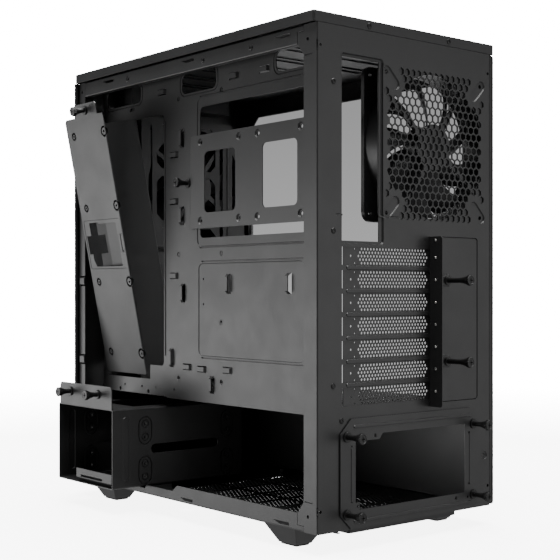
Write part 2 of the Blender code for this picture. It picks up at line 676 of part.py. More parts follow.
def ssd_plate():
    (y0, y1), (z0, z1) = SSD_Y, SSD_Z
    foot = TRAY_X + GAP
    hat = [(foot, y0 - 6.0), (foot, y0 + SHEET), (SSD_X - SHEET, y0 + SHEET), (SSD_X - SHEET, y1 - SHEET),
           (foot, y1 - SHEET), (foot, y1 + 8.0), (foot + SHEET, y1 + 8.0), (foot + SHEET, y1),
           (SSD_X, y1), (SSD_X, y0), (foot + SHEET, y0), (foot + SHEET, y0 - 6.0)]
    bm = bmesh.new()
    add_sheet(bm, "Z", z0, z1, hat)
    plate = make_object("ssd_plate", bm, "steel")
    cut = bmesh.new()
    for y_low, y_high in ((-185.4, -135.8), (-95.3, -46.0)):
        add_box(cut, (SSD_X - 3.0, y_low, 282.4), (SSD_X + 3.0, y_high, 341.8))
    combine(plate, "DIFFERENCE", cut, "ssd_plate_windows")
    thumbscrew("tray_screw", (TRAY_X + GAP, *TRAY_SCREW), "X", SHORT_NECK)


# Underside

def feet():
    for name, (x, y) in FEET.items():
        foot_bottom = PAD_T + GAP - FOOT_H
        bm = bmesh.new()
        levels = ((FOOT_BOTTOM, foot_bottom), (FOOT_TOP, -GAP))
        add_loft(bm, [[(x + sx * size[0] / 2, y + sy * size[1] / 2, z)
                       for sx, sy in ((-1, -1), (1, -1), (1, 1), (-1, 1))] for size, z in levels])
        make_object(f"foot_{name}", bm, "plastic")
        bm = bmesh.new()
        half_x, half_y = FOOT_BOTTOM[0] / 2 - 1.0, FOOT_BOTTOM[1] / 2 - 1.0
        add_box(bm, (x - half_x, y - half_y, -FOOT_H), (x + half_x, y + half_y, PAD_T - FOOT_H))
        make_object(f"foot_pad_{name}", bm, "rubber")


def psu_filter():
    (x0, x1), (y0, y1) = FILTER_X, FILTER_Y
    low, high = -5.0, -0.6
    bm = bmesh.new()
    add_sheet(bm, "Z", low, high, rectangle(x0, y0, x1, y1), [rectangle(x0 + 5, y0 + 5, x1 - 5, y1 - 10)])
    frame = make_object("psu_filter", bm, "mesh", anchor=((x0 + x1) / 2, y1, low))
    fuse_boxes(frame, [((x0 + 3, y0 + 3, -2.8), (x1 - 3, y1 - 8, -1.8))])


def main():
    for old in list(bpy.data.objects):
        bpy.data.objects.remove(old, do_unlink=True)
    chassis_floor()
    rear_panel()
    top_frame()
    front_frame()
    fan_bracket()
    motherboard_tray()
    psu_shroud()
    top_cover()
    front_panel()
    front_filter()
    glass_side()
    port_module()
    buttons()
    fan("rear_fan", REAR_FAN[0], -SHEET - GAP - FAN_DEPTH, REAR_FAN[1])
    for place, (x, z) in FRONT_FANS.items():
        fan(f"front_fan_{place}", x, SHEET + GAP - CASE_D, z)
    slot_covers()
    slot_side_plate()
    psu_bracket()
    hdd_cage()
    cable_cover()
    ssd_plate()
    feet()
    psu_filter()


main()
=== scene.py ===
import bisect
import json
from math import atan2, cos, pi, radians, sin, tan

import bmesh
import bpy
from mathutils import Matrix, Vector, geometry

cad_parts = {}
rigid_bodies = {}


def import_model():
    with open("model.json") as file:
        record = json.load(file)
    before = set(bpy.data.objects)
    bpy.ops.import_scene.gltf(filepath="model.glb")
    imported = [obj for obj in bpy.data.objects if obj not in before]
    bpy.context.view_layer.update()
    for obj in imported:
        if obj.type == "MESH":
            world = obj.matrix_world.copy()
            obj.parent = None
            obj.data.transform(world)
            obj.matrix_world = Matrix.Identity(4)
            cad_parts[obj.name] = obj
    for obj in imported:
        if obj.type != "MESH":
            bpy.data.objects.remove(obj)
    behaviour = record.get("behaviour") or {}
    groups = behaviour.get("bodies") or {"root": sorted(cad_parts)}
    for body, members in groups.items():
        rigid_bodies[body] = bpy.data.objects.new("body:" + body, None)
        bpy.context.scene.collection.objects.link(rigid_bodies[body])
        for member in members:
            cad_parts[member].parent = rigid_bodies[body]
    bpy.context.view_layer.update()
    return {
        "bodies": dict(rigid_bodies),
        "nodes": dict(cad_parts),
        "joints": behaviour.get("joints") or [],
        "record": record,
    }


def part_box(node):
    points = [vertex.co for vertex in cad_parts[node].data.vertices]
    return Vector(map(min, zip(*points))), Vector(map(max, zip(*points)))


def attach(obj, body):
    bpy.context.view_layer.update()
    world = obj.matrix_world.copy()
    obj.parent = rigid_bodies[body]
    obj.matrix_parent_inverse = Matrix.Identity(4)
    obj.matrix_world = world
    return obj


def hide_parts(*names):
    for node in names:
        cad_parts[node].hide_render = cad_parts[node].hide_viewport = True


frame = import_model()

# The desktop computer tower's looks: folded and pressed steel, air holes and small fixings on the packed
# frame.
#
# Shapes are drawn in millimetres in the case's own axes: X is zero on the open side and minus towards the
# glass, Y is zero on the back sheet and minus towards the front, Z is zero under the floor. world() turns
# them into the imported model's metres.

MM = 0.001
ZERO = Vector((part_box("rear_panel")[1][0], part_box("top_cover")[1][1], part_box("rear_panel")[0][2]))

WIDTH, DEPTH, HEIGHT = 222, 396, 433.8
CORNERS = ((1, 1), (1, -1), (-1, 1), (-1, -1))
FOOT_AT = {"front_right": (-21, -351.5), "rear_right": (-21, -53.5), "front_left": (-201, -351.5),
           "rear_left": (-201, -53.5)}
STEEL = 1
BEND_R = 1.3


def world(x, y, z):
    return ZERO + Vector((x, y, z)) * MM


def to_case(place):
    return (Vector(place) - ZERO) / MM


# Flat outlines, as lists of corner points

def rectangle(x0, y0, x1, y1):
    return [(x0, y0), (x1, y0), (x1, y1), (x0, y1)]


def arc(x, y, radius, start, sweep, steps):
    angles = [start + sweep * step / steps for step in range(steps + 1)]
    return [(x + radius * cos(a), y + radius * sin(a)) for a in angles]


def circle(x, y, radius, sides=16, turn=0):
    return arc(x, y, radius, turn, 2 * pi, sides)[:-1]


def rounded(x0, y0, x1, y1, radius, steps=4):
    """A rectangle with round corners."""
    points = []
    for quarter, (x, y) in enumerate(rectangle(x1 - radius, y1 - radius, x0 + radius, y0 + radius)):
        points += arc(x, y, radius, quarter * pi / 2, pi / 2, steps)
    return points


def capsule(x0, y0, x1, y1, radius):
    """A slot with round ends between two centres."""
    start = atan2(y1 - y0, x1 - x0) - pi / 2
    return arc(x1, y1, radius, start, pi, 6) + arc(x0, y0, radius, start + pi, pi, 6)


def chamfered(x0, y0, x1, y1, cut):
    return [(x0 + cut, y0), (x1 - cut, y0), (x1, y0 + cut), (x1, y1 - cut),
            (x1 - cut, y1), (x0 + cut, y1), (x0, y1 - cut), (x0, y0 + cut)]


def signed_area(loop):
    return sum(a[0] * b[1] - b[0] * a[1] for a, b in zip(loop, loop[1:] + loop[:1])) / 2


def inset(loop, distance):
    """A loop moved inwards by a distance, for outlines without sharp inner corners."""
    turn = 1 if signed_area(loop) > 0 else -1
    moved = []
    for i, point in enumerate(loop):
        here = Vector(point)
        before = (here - Vector(loop[i - 1])).normalized()
        after = (Vector(loop[(i + 1) % len(loop)]) - here).normalized()
        normals = [Vector((-v.y, v.x)) * turn for v in (before, after)]
        middle = (normals[0] + normals[1]).normalized()
        moved.append(tuple(here + middle * distance / max(0.3, middle.dot(normals[0]))))
    return moved


# Folded steel

class Fold:
    """A folded cross-section: straight runs joined by round bends, measured along its outer face."""

    def __init__(self, corners, radius=BEND_R, steps=4):
        corners = [Vector(c) for c in corners]
        self.starts, self.stations, self.bends = [], [], []
        length = trim = 0
        for i, (corner, following) in enumerate(zip(corners, corners[1:])):
            along = (following - corner).normalized()
            normal = Vector((-along.y, along.x))
            turn, next_trim = 0, 0
            if i + 2 < len(corners):
                onward = (corners[i + 2] - following).normalized()
                turn = atan2(along.x * onward.y - along.y * onward.x, along.dot(onward))
                next_trim = radius * tan(abs(turn) / 2)
            start, end = corner + along * trim, following - along * next_trim
            self.starts.append(length - trim)
            self.stations.append((length, start, normal))
            length += (end - start).length
            self.stations.append((length, end, normal))
            side = 1 if turn < 0 else -1
            centre, first = end - normal * radius * side, length
            for step in range(steps + 1 if turn else 0):
                length = first + radius * abs(turn) * step / steps
                self.bends.append(length)
                if 0 < step < steps:
                    swung = Matrix.Rotation(turn * step / steps, 2) @ normal
                    self.stations.append((length, centre + swung * radius * side, swung))
            trim = next_trim
        self.length = length
        self.keys = [s for s, _, _ in self.stations]

    def on(self, run, distance):
        """The measure along the sheet of a point at a distance from the start of a straight run."""
        return self.starts[run] + distance

    def at(self, s, height):
        i = min(max(bisect.bisect_right(self.keys, s) - 1, 0), len(self.keys) - 2)
        (s0, p0, n0), (s1, p1, n1) = self.stations[i], self.stations[i + 1]
        share = 0 if s1 - s0 < 1e-9 else (s - s0) / (s1 - s0)
        return p0.lerp(p1, share) + n0.lerp(n1, share).normalized() * height


PLACES = {"X": lambda a, b, t: (t, a, b), "Y": lambda a, b, t: (a, t, b), "Z": lambda a, b, t: (a, b, t)}


class Plate:
    """A sheet drawn flat in (s, t) with holes and pressed areas, then folded and given its thickness.

    Holes and presses are given in the case's axes where spread turns such a point into (s, t)."""

    def __init__(self, axis, fold, outline, thickness=STEEL, spread=None):
        self.axis, self.fold, self.outline, self.thickness = axis, fold, outline, thickness
        self.holes, self.presses, self.spread = [], [], spread

    def drawn(self, loop):
        return [self.spread(*point) for point in loop] if self.spread else loop

    def cut(self, *loops):
        self.holes += [self.drawn(loop) for loop in loops]

    def press(self, loop, height, slope=0.8):
        """Raises (or with a minus height, sinks) the area inside a loop, with a sloped rim."""
        loop = self.drawn(loop)
        self.presses += [(loop, 0, False), (inset(loop, slope), height, True)]

    def groove(self, loop, depth, width, slope):
        """Presses a line that follows a loop, just inside it."""
        self.press(loop, -depth, slope)
        loop = self.drawn(loop)
        self.presses += [(inset(loop, slope + width), 0, False), (inset(loop, slope + width + slope), 0, True)]

    def dimple(self, s, t, hole, flat, height, slope=0.8, sides=20):
        """A screw hole in the middle of a round pressed area."""
        self.press(circle(s, t, flat + slope, sides), height, slope)
        self.cut(circle(s, t, hole, 12))

    def lance(self, s, t, length, width, height=2, gap=1.1, upright=False):
        """A tie loop: a bridge pressed up between two slots."""
        half, ramp = length / 2, height * 0.9
        swap = (lambda box: rectangle(*box[1::-1], *box[:1:-1])) if upright else (lambda box: rectangle(*box))
        s, t = (t, s) if upright else (s, t)
        self.cut(swap((s - half, t + width / 2, s + half, t + width / 2 + gap)),
                 swap((s - half, t - width / 2 - gap, s + half, t - width / 2)))
        foot = self.drawn(swap((s - half, t - width / 2, s + half, t + width / 2)))
        bridge = self.drawn(swap((s - half + ramp, t - width / 2, s + half - ramp, t + width / 2)))
        self.presses += [(foot, 0, False), (bridge, height, True)]

    def flat_mesh(self):
        points, edges, faces = [], [], []
        for loop in [self.outline, *self.holes, *[p[0] for p in self.presses]]:
            loop = loop if signed_area(loop) > 0 else loop[::-1]
            faces.append(list(range(len(points), len(points) + len(loop))))
            points += [Vector(p) for p in loop]
        low = min(p.y for p in points) - 1
        high = max(p.y for p in points) + 1
        for s in self.fold.bends:
            edges.append((len(points), len(points) + 1))
            points += [Vector((s, low)), Vector((s, high))]
        verts, _, tris, _, _, owners = geometry.delaunay_2d_cdt(points, edges, faces, 0, 1e-5, True)
        hole_ids = set(range(1, 1 + len(self.holes)))
        raised = {1 + len(self.holes) + i: height for i, (_, height, lifts) in enumerate(self.presses) if lifts}
        kept, levels = [], {}
        for tri, owner in zip(tris, owners):
            owner = set(owner)
            if 0 in owner and not owner & hole_ids:
                kept.append(tuple(tri))
            for number in owner & raised.keys():
                levels.update((v, max(number, levels.get(v, 0))) for v in tri)
        return verts, kept, {v: raised[number] for v, number in levels.items()}

    def fill(self, bm, matrix=None):
        verts, tris, heights = self.flat_mesh()
        place = PLACES[self.axis]
        used = sorted({v for tri in tris for v in tri})
        outer, inner = {}, {}
        for v in used:
            s, t = verts[v]
            for side, drop in ((outer, 0), (inner, self.thickness)):
                a, b = self.fold.at(s, heights.get(v, 0) - drop)
                point = Vector(place(a, b, t))
                side[v] = bm.verts.new(matrix @ point if matrix else point)
        made, rims = [], set()
        for a, b, c in tris:
            made.append(bm.faces.new((outer[a], outer[b], outer[c])))
            made.append(bm.faces.new((inner[c], inner[b], inner[a])))
            rims |= {(a, b), (b, c), (c, a)}
        for a, b in rims:
            if (b, a) not in rims:
                made.append(bm.faces.new((outer[b], outer[a], inner[a], inner[b])))
        volume = 0
        for face in made:
            first, *others = [v.co for v in face.verts]
            volume += sum(first.dot(a.cross(b)) for a, b in zip(others, others[1:]))
        if volume < 0:
            bmesh.ops.reverse_faces(bm, faces=made)


def flat(axis, level, outline, thickness=STEEL):
    """A plate without folds, its outer face at a level of its normal axis, facing the plus side."""
    ends = [point[0] for point in outline]
    low, high = min(ends), max(ends)
    turned = axis == "X"   # drawn in (y, z), so that it faces the open side
    spread = (lambda a, b: (high - a, b)) if turned else (lambda a, b: (a - low, b))
    run = [(level, high), (level, low)] if turned else [(low, level), (high, level)]
    drawn = [spread(*point) for point in outline]
    return Plate("Y" if axis == "Z" else "Z", Fold(run), drawn, thickness, spread)


# Solid shapes

def add_box(bm, low, high, edge=0):
    """A box, with its edges cut off by a small bevel."""
    centre = [(a + b) / 2 for a, b in zip(low, high)]
    size = [abs(b - a) for a, b in zip(low, high)]
    made = bmesh.ops.create_cube(bm, size=1, matrix=Matrix.Translation(centre) @ Matrix.Diagonal((*size, 1)))
    if edge:
        edges = list({e for v in made["verts"] for e in v.link_edges})
        bmesh.ops.bevel(bm, geom=edges, offset=edge, segments=2, profile=0.6, affect="EDGES",
                        clamp_overlap=True)


def add_loft(bm, loops, matrix=None, closed=False):
    """A skin through equally long loops: closed back on itself, or with flat ends."""
    rows = [[bm.verts.new(matrix @ Vector(p) if matrix else p) for p in loop] for loop in loops]
    made = []
    for lower, upper in zip(rows, rows[1:] + rows[:1] if closed else rows[1:]):
        for i in range(len(lower)):
            made.append(bm.faces.new((lower[i - 1], lower[i], upper[i], upper[i - 1])))
    if not closed:
        made += [bm.faces.new(rows[0][::-1]), bm.faces.new(rows[-1])]
    bmesh.ops.recalc_face_normals(bm, faces=made)


def add_turned(bm, profile, sides, matrix=None):
    """A solid of revolution about Z through (radius, height) points."""
    add_loft(bm, [[(x, y, z) for x, y in circle(0, 0, r, sides)] for r, z in profile], matrix)


def aim(position, direction):
    """A matrix that stands a shape drawn along Z at a position, with its Z along a direction."""
    return Matrix.Translation(position) @ Vector(direction).to_track_quat("Z", "Y").to_matrix().to_4x4()


# Materials

def new_material(name):
    made = bpy.data.materials.new(name)
    made.use_nodes = True
    return made, made.node_tree, made.node_tree.nodes["Principled BSDF"]


def set_inputs(tree, target, inputs):
    """Gives a node's inputs a number or a colour, or links them from a socket."""
    for name, value in inputs.items():
        if isinstance(value, bpy.types.NodeSocket):
            tree.links.new(value, target.inputs[name])
        else:
            target.inputs[name].default_value = value


def add_node(tree, kind, inputs, output=0, **settings):
    made = tree.nodes.new("ShaderNode" + kind)
    for name, value in settings.items():
        setattr(made, name, value)
    set_inputs(tree, made, inputs)
    return made.outputs[output]


def noise(tree, scale, detail=3, roughness=0.55):
    """Noise fixed to the piece, in features of one over the scale in metres."""
    where = add_node(tree, "TexCoord", {}, "Object")
    inputs = {"Vector": where, "Scale": scale, "Detail": detail, "Roughness": roughness}
    return add_node(tree, "TexNoise", inputs, "Fac")


def ranged(tree, value, low, high, to_low, to_high):
    return add_node(tree, "MapRange", {"Value": value, "From Min": low, "From Max": high, "To Min": to_low,
                                       "To Max": to_high}, "Result")


def blended(tree, share, first, second):
    """A colour between two, each a tuple or another colour socket."""
    first, second = ((*c, 1) if isinstance(c, tuple) else c for c in (first, second))
    return add_node(tree, "Mix", {"Factor": share, 6: first, 7: second}, 2, data_type="RGBA")


def bumped(tree, shader, layers):
    """Stacks bumps, each a (height socket, strength, distance in metres), into the shader's normal."""
    below = {}
    for height, strength, distance in layers:
        inputs = {"Height": height, "Strength": strength, "Distance": distance, **below}
        below = {"Normal": add_node(tree, "Bump", inputs, "Normal")}
    set_inputs(tree, shader, below)


def grainy(name, colour, roughness, grain_scale, grain_depth, spread=0.05, dust=0.2, gloss=0.5):
    """A painted or moulded black surface: fine grain, soft patches, faint dust and handling marks."""
    made, tree, shader = new_material(name)
    dark = tuple(c * (1 - spread) for c in colour)
    light = tuple(c * (1 + spread) for c in colour)
    patches = blended(tree, ranged(tree, noise(tree, 17), 0.35, 0.65, 0, 1), dark, light)
    speck = ranged(tree, noise(tree, grain_scale * 0.8, 2), 0.35, 0.7, 0, 0.35)
    specked = blended(tree, speck, patches, tuple(c * 1.9 + 0.004 for c in colour))
    film = ranged(tree, noise(tree, 6, 6, 0.7), 0.5, 0.85, 0, dust * 0.06)
    rough = ranged(tree, noise(tree, 38, 5, 0.65), 0.3, 0.7, roughness - 0.035, roughness + 0.035)
    set_inputs(tree, shader, {"Base Color": blended(tree, film, specked, (0.11, 0.108, 0.103)),
                              "Roughness": rough, "Specular IOR Level": gloss})
    bumped(tree, shader, [(noise(tree, grain_scale, 2), 0.35, grain_depth),
                          (noise(tree, grain_scale * 0.13, 3), 0.10, grain_depth * 2.5)])
    return made


def glass_material():
    """Grey tinted polished glass with a faint film of dust."""
    made, tree, shader = new_material("tinted_glass")
    film = ranged(tree, noise(tree, 9, 5, 0.7), 0.45, 0.8, 0, 0.10)
    set_inputs(tree, shader, {"Base Color": blended(tree, film, (0.72, 0.72, 0.725), (0.66, 0.66, 0.66)),
                              "Roughness": ranged(tree, noise(tree, 60, 4), 0.3, 0.7, 0, 0.03),
                              "Transmission Weight": 1, "IOR": 1.15})
    return made


def woven_material():
    """Fine black filter cloth: crossed threads half a millimetre apart."""
    made, tree, shader = new_material("filter_mesh")
    where = add_node(tree, "TexCoord", {}, "Object")
    across, along = (add_node(tree, "TexWave", {"Vector": where, "Scale": 320}, "Fac", bands_direction=axis)
                     for axis in ("X", "Z"))
    crossed = add_node(tree, "Math", {0: across, 1: along}, operation="MAXIMUM")
    set_inputs(tree, shader, {"Base Color": blended(tree, crossed, (0.004, 0.004, 0.004), (0.03, 0.03, 0.031)),
                              "Roughness": ranged(tree, noise(tree, 50), 0.3, 0.7, 0.65, 0.85), "Alpha": 0.55})
    bumped(tree, shader, [(crossed, 0.6, 0.0002)])
    return made


def zinc_material():
    """Bright plated screw steel with fine turning marks."""
    made, tree, shader = new_material("zinc")
    plated = blended(tree, noise(tree, 900), (0.62, 0.61, 0.58), (0.86, 0.85, 0.82))
    set_inputs(tree, shader, {"Base Color": plated,
                              "Roughness": ranged(tree, noise(tree, 400), 0.3, 0.7, 0.22, 0.4), "Metallic": 1})
    bumped(tree, shader, [(noise(tree, 2500), 0.2, 0.00005)])
    return made


POWDER = grainy("powder_coat", (0.012, 0.012, 0.0122), 0.42, 2200, 0.00006)
COVER = grainy("cover_coat", (0.010, 0.010, 0.0102), 0.42, 2200, 0.00006)
MOULDED = grainy("moulded_plastic", (0.009, 0.009, 0.0095), 0.50, 1500, 0.00008, spread=0.12)
FAN_PLASTIC = grainy("fan_plastic", (0.010, 0.010, 0.0105), 0.40, 1800, 0.00004, spread=0.12)
RUBBER = grainy("rubber", (0.018, 0.018, 0.018), 0.82, 900, 0.0001, dust=0.5, gloss=0.25)
SCREW = grainy("black_screw", (0.005, 0.005, 0.005), 0.38, 3000, 0.00002, spread=0.2, dust=0.05, gloss=0.35)
PRINTED = grainy("printed_glass_edge", (0.006, 0.006, 0.006), 0.12, 60, 0.000002, spread=0.1, dust=0.4)
GLASS = glass_material()
FILTER = woven_material()
ZINC = zinc_material()


# Pieces

def add_object(name, data):
    made = bpy.data.objects.new(name, data)
    bpy.context.scene.collection.objects.link(made)
    return made


def piece(name, bm, material, body="chassis", replaces=None, smooth=35):
    """Stores a bmesh drawn in the case's millimetres as a piece that rides on a body."""
    for vert in bm.verts:
        vert.co = world(*vert.co)
    mesh = bpy.data.meshes.new(name)
    bm.to_mesh(mesh)
    bm.free()
    mesh.shade_smooth()
    mesh.set_sharp_from_angle(angle=radians(smooth))
    mesh.materials.append(material)
    made = add_object(name, mesh)
    weighted = made.modifiers.new("flat_faces_first", "WEIGHTED_NORMAL")
    weighted.keep_sharp = True
    weighted.weight = 100
    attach(made, body)
    if replaces:
        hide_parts(replaces)


def plate_piece(name, plates, material=POWDER, **options):
    bm = bmesh.new()
    for plate in plates:
        plate.fill(bm)
    piece(name, bm, material, **options)


# Back of the case

FAN_CENTRE = (-145.8, 338.6)
SLOT_HEIGHTS = [236.7 - 20.32 * i for i in range(7)]
PSU_SCREW_AT = {"upper_left": (-33, 80.5), "upper_right": (-196, 80.5),
                "lower_left": (-33, 13.5), "lower_right": (-196, 13.5)}
SIDE_SCREW_AT = {"upper": (-160, 216), "lower": (-160, 141)}


def honeycomb(x, z):
    """The fan vent's hexagons: 21 staggered rows whose corners make room for the screw slots."""
    pitch, radius = 7.5, 3.62
    reach = {10: 6, 9: 5.5, 8: 5, 7: 5.5}
    cells = []
    for row in range(-10, 11):
        half = reach.get(abs(row), 8 if row % 2 == 0 else 7.5)
        columns = [-half + i for i in range(int(2 * half) + 1)]
        if abs(row) == 7:
            columns += [-8.5, 8.5]
        row_z = z + row * pitch * sin(pi / 3)
        cells += [circle(x + column * pitch, row_z, radius, 6, pi / 6) for column in columns]
    return cells


def rear_panel():
    fold = Fold([(-WIDTH, -17.5), (-WIDTH, 0), (0, 0), (0, -17.5)])

    def spread(x, z):
        """A place on the back, or with a plus X one that far down the pillar on the open side."""
        return (fold.on(2, x) if x > 0 else fold.on(1, x + WIDTH)), z

    gusset = [(17.5, 0), (17.5, 5.4), (25.6, 5.4), (25.6, 15), (17.5, 26), (17.5, 408.2), (25.6, 418.4),
              (25.6, 428.4), (17.5, 428.4), (17.5, HEIGHT)]
    back = Plate("Z", fold, [(0, 0), *[spread(*point) for point in gusset], (0, HEIGHT)], spread=spread)
    for z in (26.3, 407.5):
        back.press(capsule(16, z, 6.5, z, 0.5), -0.9, 0.3)
    back.cut(rectangle(-73.9, 249.7, -29.5, 408.5), rectangle(-188, 5, -37, 91))
    back.press(rounded(-78.6, 246.9, -26.4, 411.4, 4), -1.6, 0.9)
    for z in SLOT_HEIGHTS:
        back.cut(rectangle(-142, z - 7.8, -28.2, z + 7.8))
    for z in SLOT_HEIGHTS[1:]:
        back.press(capsule(-134, z + 10.16, -35, z + 10.16, 1.9), 0.7, 0.5)
    x, z = FAN_CENTRE
    back.cut(*honeycomb(x, z))
    near, far = 52.5, 63
    for sx, sz in CORNERS:
        back.press(capsule(x + sx * near, z + sz * near, x + sx * far, z + sz * far, 5.2), -1.4, 0.8)
        back.cut(circle(x + sx * near, z + sz * near, 2.2, 12), circle(x + sx * far, z + sz * far, 2.2, 12))
    back.press(rounded(-203.9, 103.2, -139.4, 256.6, 3), -1.7, 0.5)
    back.press(capsule(-139, 272, -22, 272, 0.9), -0.5, 0.4)
    back.cut(*[circle(x, z, 2.4, 12) for x, z in SIDE_SCREW_AT.values()],
             *[circle(x, z, 1.5, 10)
               for x, z in ((-3.6, 414.5), (-3.6, 19.2), (-218.6, 415.1), (-218.6, 19.2))],
             *[rectangle(-1, z - 4, 1, z + 4) for z in (414.8, 19.2)],
             circle(12.3, 421, 1.6, 10), circle(12, 14, 1.6, 10))
    back.dimple(-213.3, 48.9, 1.7, 3.2, -0.8)

    ledge_out = 16.1
    wall = Plate("Z", Fold([(-137, ledge_out), (-137, -0.4), (-139, -0.4)], 1.2), [])
    length = wall.fold.length
    corner = rounded(-6, 100.3, ledge_out - 0.3, 256, 2.5)
    wall.outline = [(max(0, ledge_out - 0.3 - y) if y > 0 else length, z) for y, z in corner]
    for z in [*SLOT_HEIGHTS, SLOT_HEIGHTS[0] + 16]:
        wall.cut(circle(ledge_out - 8, z, 1.3, 10))
    plate_piece("back_sheet", [back, wall], replaces="rear_panel")


def slot_covers():
    """Seven covers with five staggered rows of round holes and a tab screwed to the ledge."""
    row_pitch, column_pitch, middle = 3.1, 3.73, -91.6
    fold = Fold([(-30.4, -1.3), (-140, -1.3), (-140, 11)], 1)
    for number, z in enumerate(SLOT_HEIGHTS, start=1):
        tab = fold.length - 10
        outline = [(0, z - 9.3), (tab, z - 9.3), (tab, z - 7), (fold.length, z - 7),
                   (fold.length, z + 7), (tab, z + 7), (tab, z + 9.3), (0, z + 9.3)]
        cover = Plate("Z", fold, outline, 0.6, lambda x, height: (fold.on(0, -30.4 - x), height))
        for row in range(-2, 3):
            count = 24 - abs(row)
            for column in range(count):
                x = middle + (column - (count - 1) / 2) * column_pitch
                cover.cut(circle(x, z + row * row_pitch, 1.25, 8))
        cover.cut(circle(-39.5, z, 1.1, 10), circle(-44, z - 6.2, 0.8, 6), circle(-44, z + 6.2, 0.8, 6))
        plate_piece(f"slot_cover_{number}_perforated", [cover], replaces=f"slot_cover_{number}")


def side_plate():
    """The flush plate beside the slots, with a ridge under each thumbscrew and notches along the fold."""
    plate = flat("Y", -0.4, rounded(-203, 104, -141.8, 255.7, 2.5))
    for x, z in SIDE_SCREW_AT.values():
        plate.press(rectangle(-165, z - 6, -142.4, z + 6), 2.4, 2.6)
        plate.cut(circle(x, z, 2.4, 12))
    plate.cut(*[rounded(-143.6, z + 8, -142.3, z + 12, 0.6) for z in SLOT_HEIGHTS])
    plate_piece("side_plate_pressed", [plate], replaces="slot_side_plate")


def psu_bracket():
    """The chamfered bracket around the power supply opening, with its screw holes and rib lines."""
    bracket = flat("Y", 1.5, chamfered(-204, 0.4, -25.3, 96, 13))
    bracket.cut([(-184.1, 16.5), (-48, 16.5), (-48, 23), (-43.1, 23), (-43.1, 76), (-72, 76), (-76, 81),
                 (-184.1, 81)])
    for x, z in PSU_SCREW_AT.values():
        bracket.cut(circle(x, z, 2.4, 12))
    for z in (89, 7):
        bracket.press(capsule(-192, z, -42, z, 1.5), 0.8, 0.5)
    bracket.press(capsule(-190, 26, -190, 71, 1.1), -0.5, 0.4)
    bracket.press(capsule(-38.6, 26, -38.6, 70, 1.1), 0.6, 0.4)
    for x, z, r in ((-190, 72.6, 1.2), (-190, 24.4, 1.2), (-38.6, 72, 1), (-38.6, 24, 1),
                    (-67, 79.5, 1.7), (-46, 19.5, 1.2), (-172, 12.5, 1.7), (-188, 12, 1.3)):
        bracket.cut(circle(x, z, r, 12))
    plate_piece("psu_bracket_pressed", [bracket], replaces="psu_bracket")


def thumbscrew(node, position, direction, neck, head):
    """A knurled thumbscrew with a flared neck, a washer and a cross socket in its end."""
    knurls = 20
    bm = bmesh.new()
    matrix = aim(position, direction)

    unit = circle(0, 0, 1, knurls * 4)

    def ring(radius, height, knurl=0):
        reach = [radius - (knurl if i % 4 in (2, 3) else 0) for i in range(len(unit))]
        return [(x * r, y * r, height) for (x, y), r in zip(unit, reach)]

    def cross(height):
        """A cross-shaped loop with as many points as the rings."""
        arms = [max(abs(x), abs(y)) for x, y in unit]
        reach = [2.3 if arm > 0.955 else 0.75 + 0.25 * (arm - 0.7) / 0.25 for arm in arms]
        return [(x * r, y * r, height) for (x, y), r in zip(unit, reach)]

    flare, middle = head - 3.4, (neck + head - 3.4) / 2 + 0.4
    rings = [ring(1.8, -3.2), ring(1.8, 0), ring(4.6, 0), ring(4.6, 1), ring(4.3, 1.25), ring(2.3, 1.25),
             ring(2.3, neck), ring(3.2, middle), ring(4.5, flare), ring(4.9, flare + 0.4, 0.35),
             ring(4.9, head - 0.5, 0.35), ring(4.4, head), ring(3.7, head), ring(3.5, head - 0.25),
             cross(head - 0.25), cross(head - 1.7)]
    add_loft(bm, rings, matrix)
    piece(f"{node}_knurled", bm, SCREW, body=node, replaces=node, smooth=28)


def rear_screws():
    for place, (x, z) in PSU_SCREW_AT.items():
        thumbscrew(f"psu_screw_{place}", (x, 1.8, z), (0, 1, 0), 8.5, 19.8)
    for place, (x, z) in SIDE_SCREW_AT.items():
        thumbscrew(f"side_plate_screw_{place}", (x, 2.1, z), (0, 1, 0), 16, 28.4)


def screw_head(bm, position, direction, radius, height):
    """A small cross-head screw."""
    matrix = aim(position, direction)
    sides = 24

    def ring(r, z):
        return [(x, y, z) for x, y in circle(0, 0, r, sides)]

    def cross(z):
        reach = [radius * (0.52 if i % 6 in (0, 1, 5) else 0.2) for i in range(sides)]
        return [(x * r, y * r, z) for (x, y), r in zip(circle(0, 0, 1, sides), reach)]

    add_loft(bm, [ring(radius, -0.3), ring(radius, height * 0.45), ring(radius * 0.85, height * 0.85),
                  ring(radius * 0.62, height), cross(height), cross(height * 0.35)], matrix)


def rear_fixings():
    """Blind rivets, each a domed ring around a sunk stem, and the screws of the roof and the slot covers."""
    rivet = [(2.6, -0.3), (2.6, 0.2), (2.236, 0.675), (1.612, 0.9), (1.092, 0.9), (0.884, 0.405), (0.13, 0.405)]
    bm = bmesh.new()
    for x, z in ((-18.5, 385.4), (-18.5, 257.7), (-18.1, 125), (-27.8, 94.7)):
        add_turned(bm, rivet, 20, aim((x, 0, z), (0, 1, 0)))
    for x in (-61, -163.4):
        screw_head(bm, (x, 0, 438.6), (0, 1, 0), 2.6, 0.8)
    piece("back_rivets", bm, SCREW)
    bm = bmesh.new()
    for z in [*SLOT_HEIGHTS, SLOT_HEIGHTS[0] + 16]:
        add_turned(bm, [(1.25, -2.4), (1.25, 0.5), (0.8, 0.9)], 12, aim((-137, 8, z), (1, 0, 0)))
    piece("slot_screw_tips", bm, ZINC)
    bm = bmesh.new()
    for z in SLOT_HEIGHTS:
        screw_head(bm, (-141, 8, z), (-1, 0, 0), 3.2, 2)
    piece("slot_screw_heads", bm, SCREW)


# Open side of the case

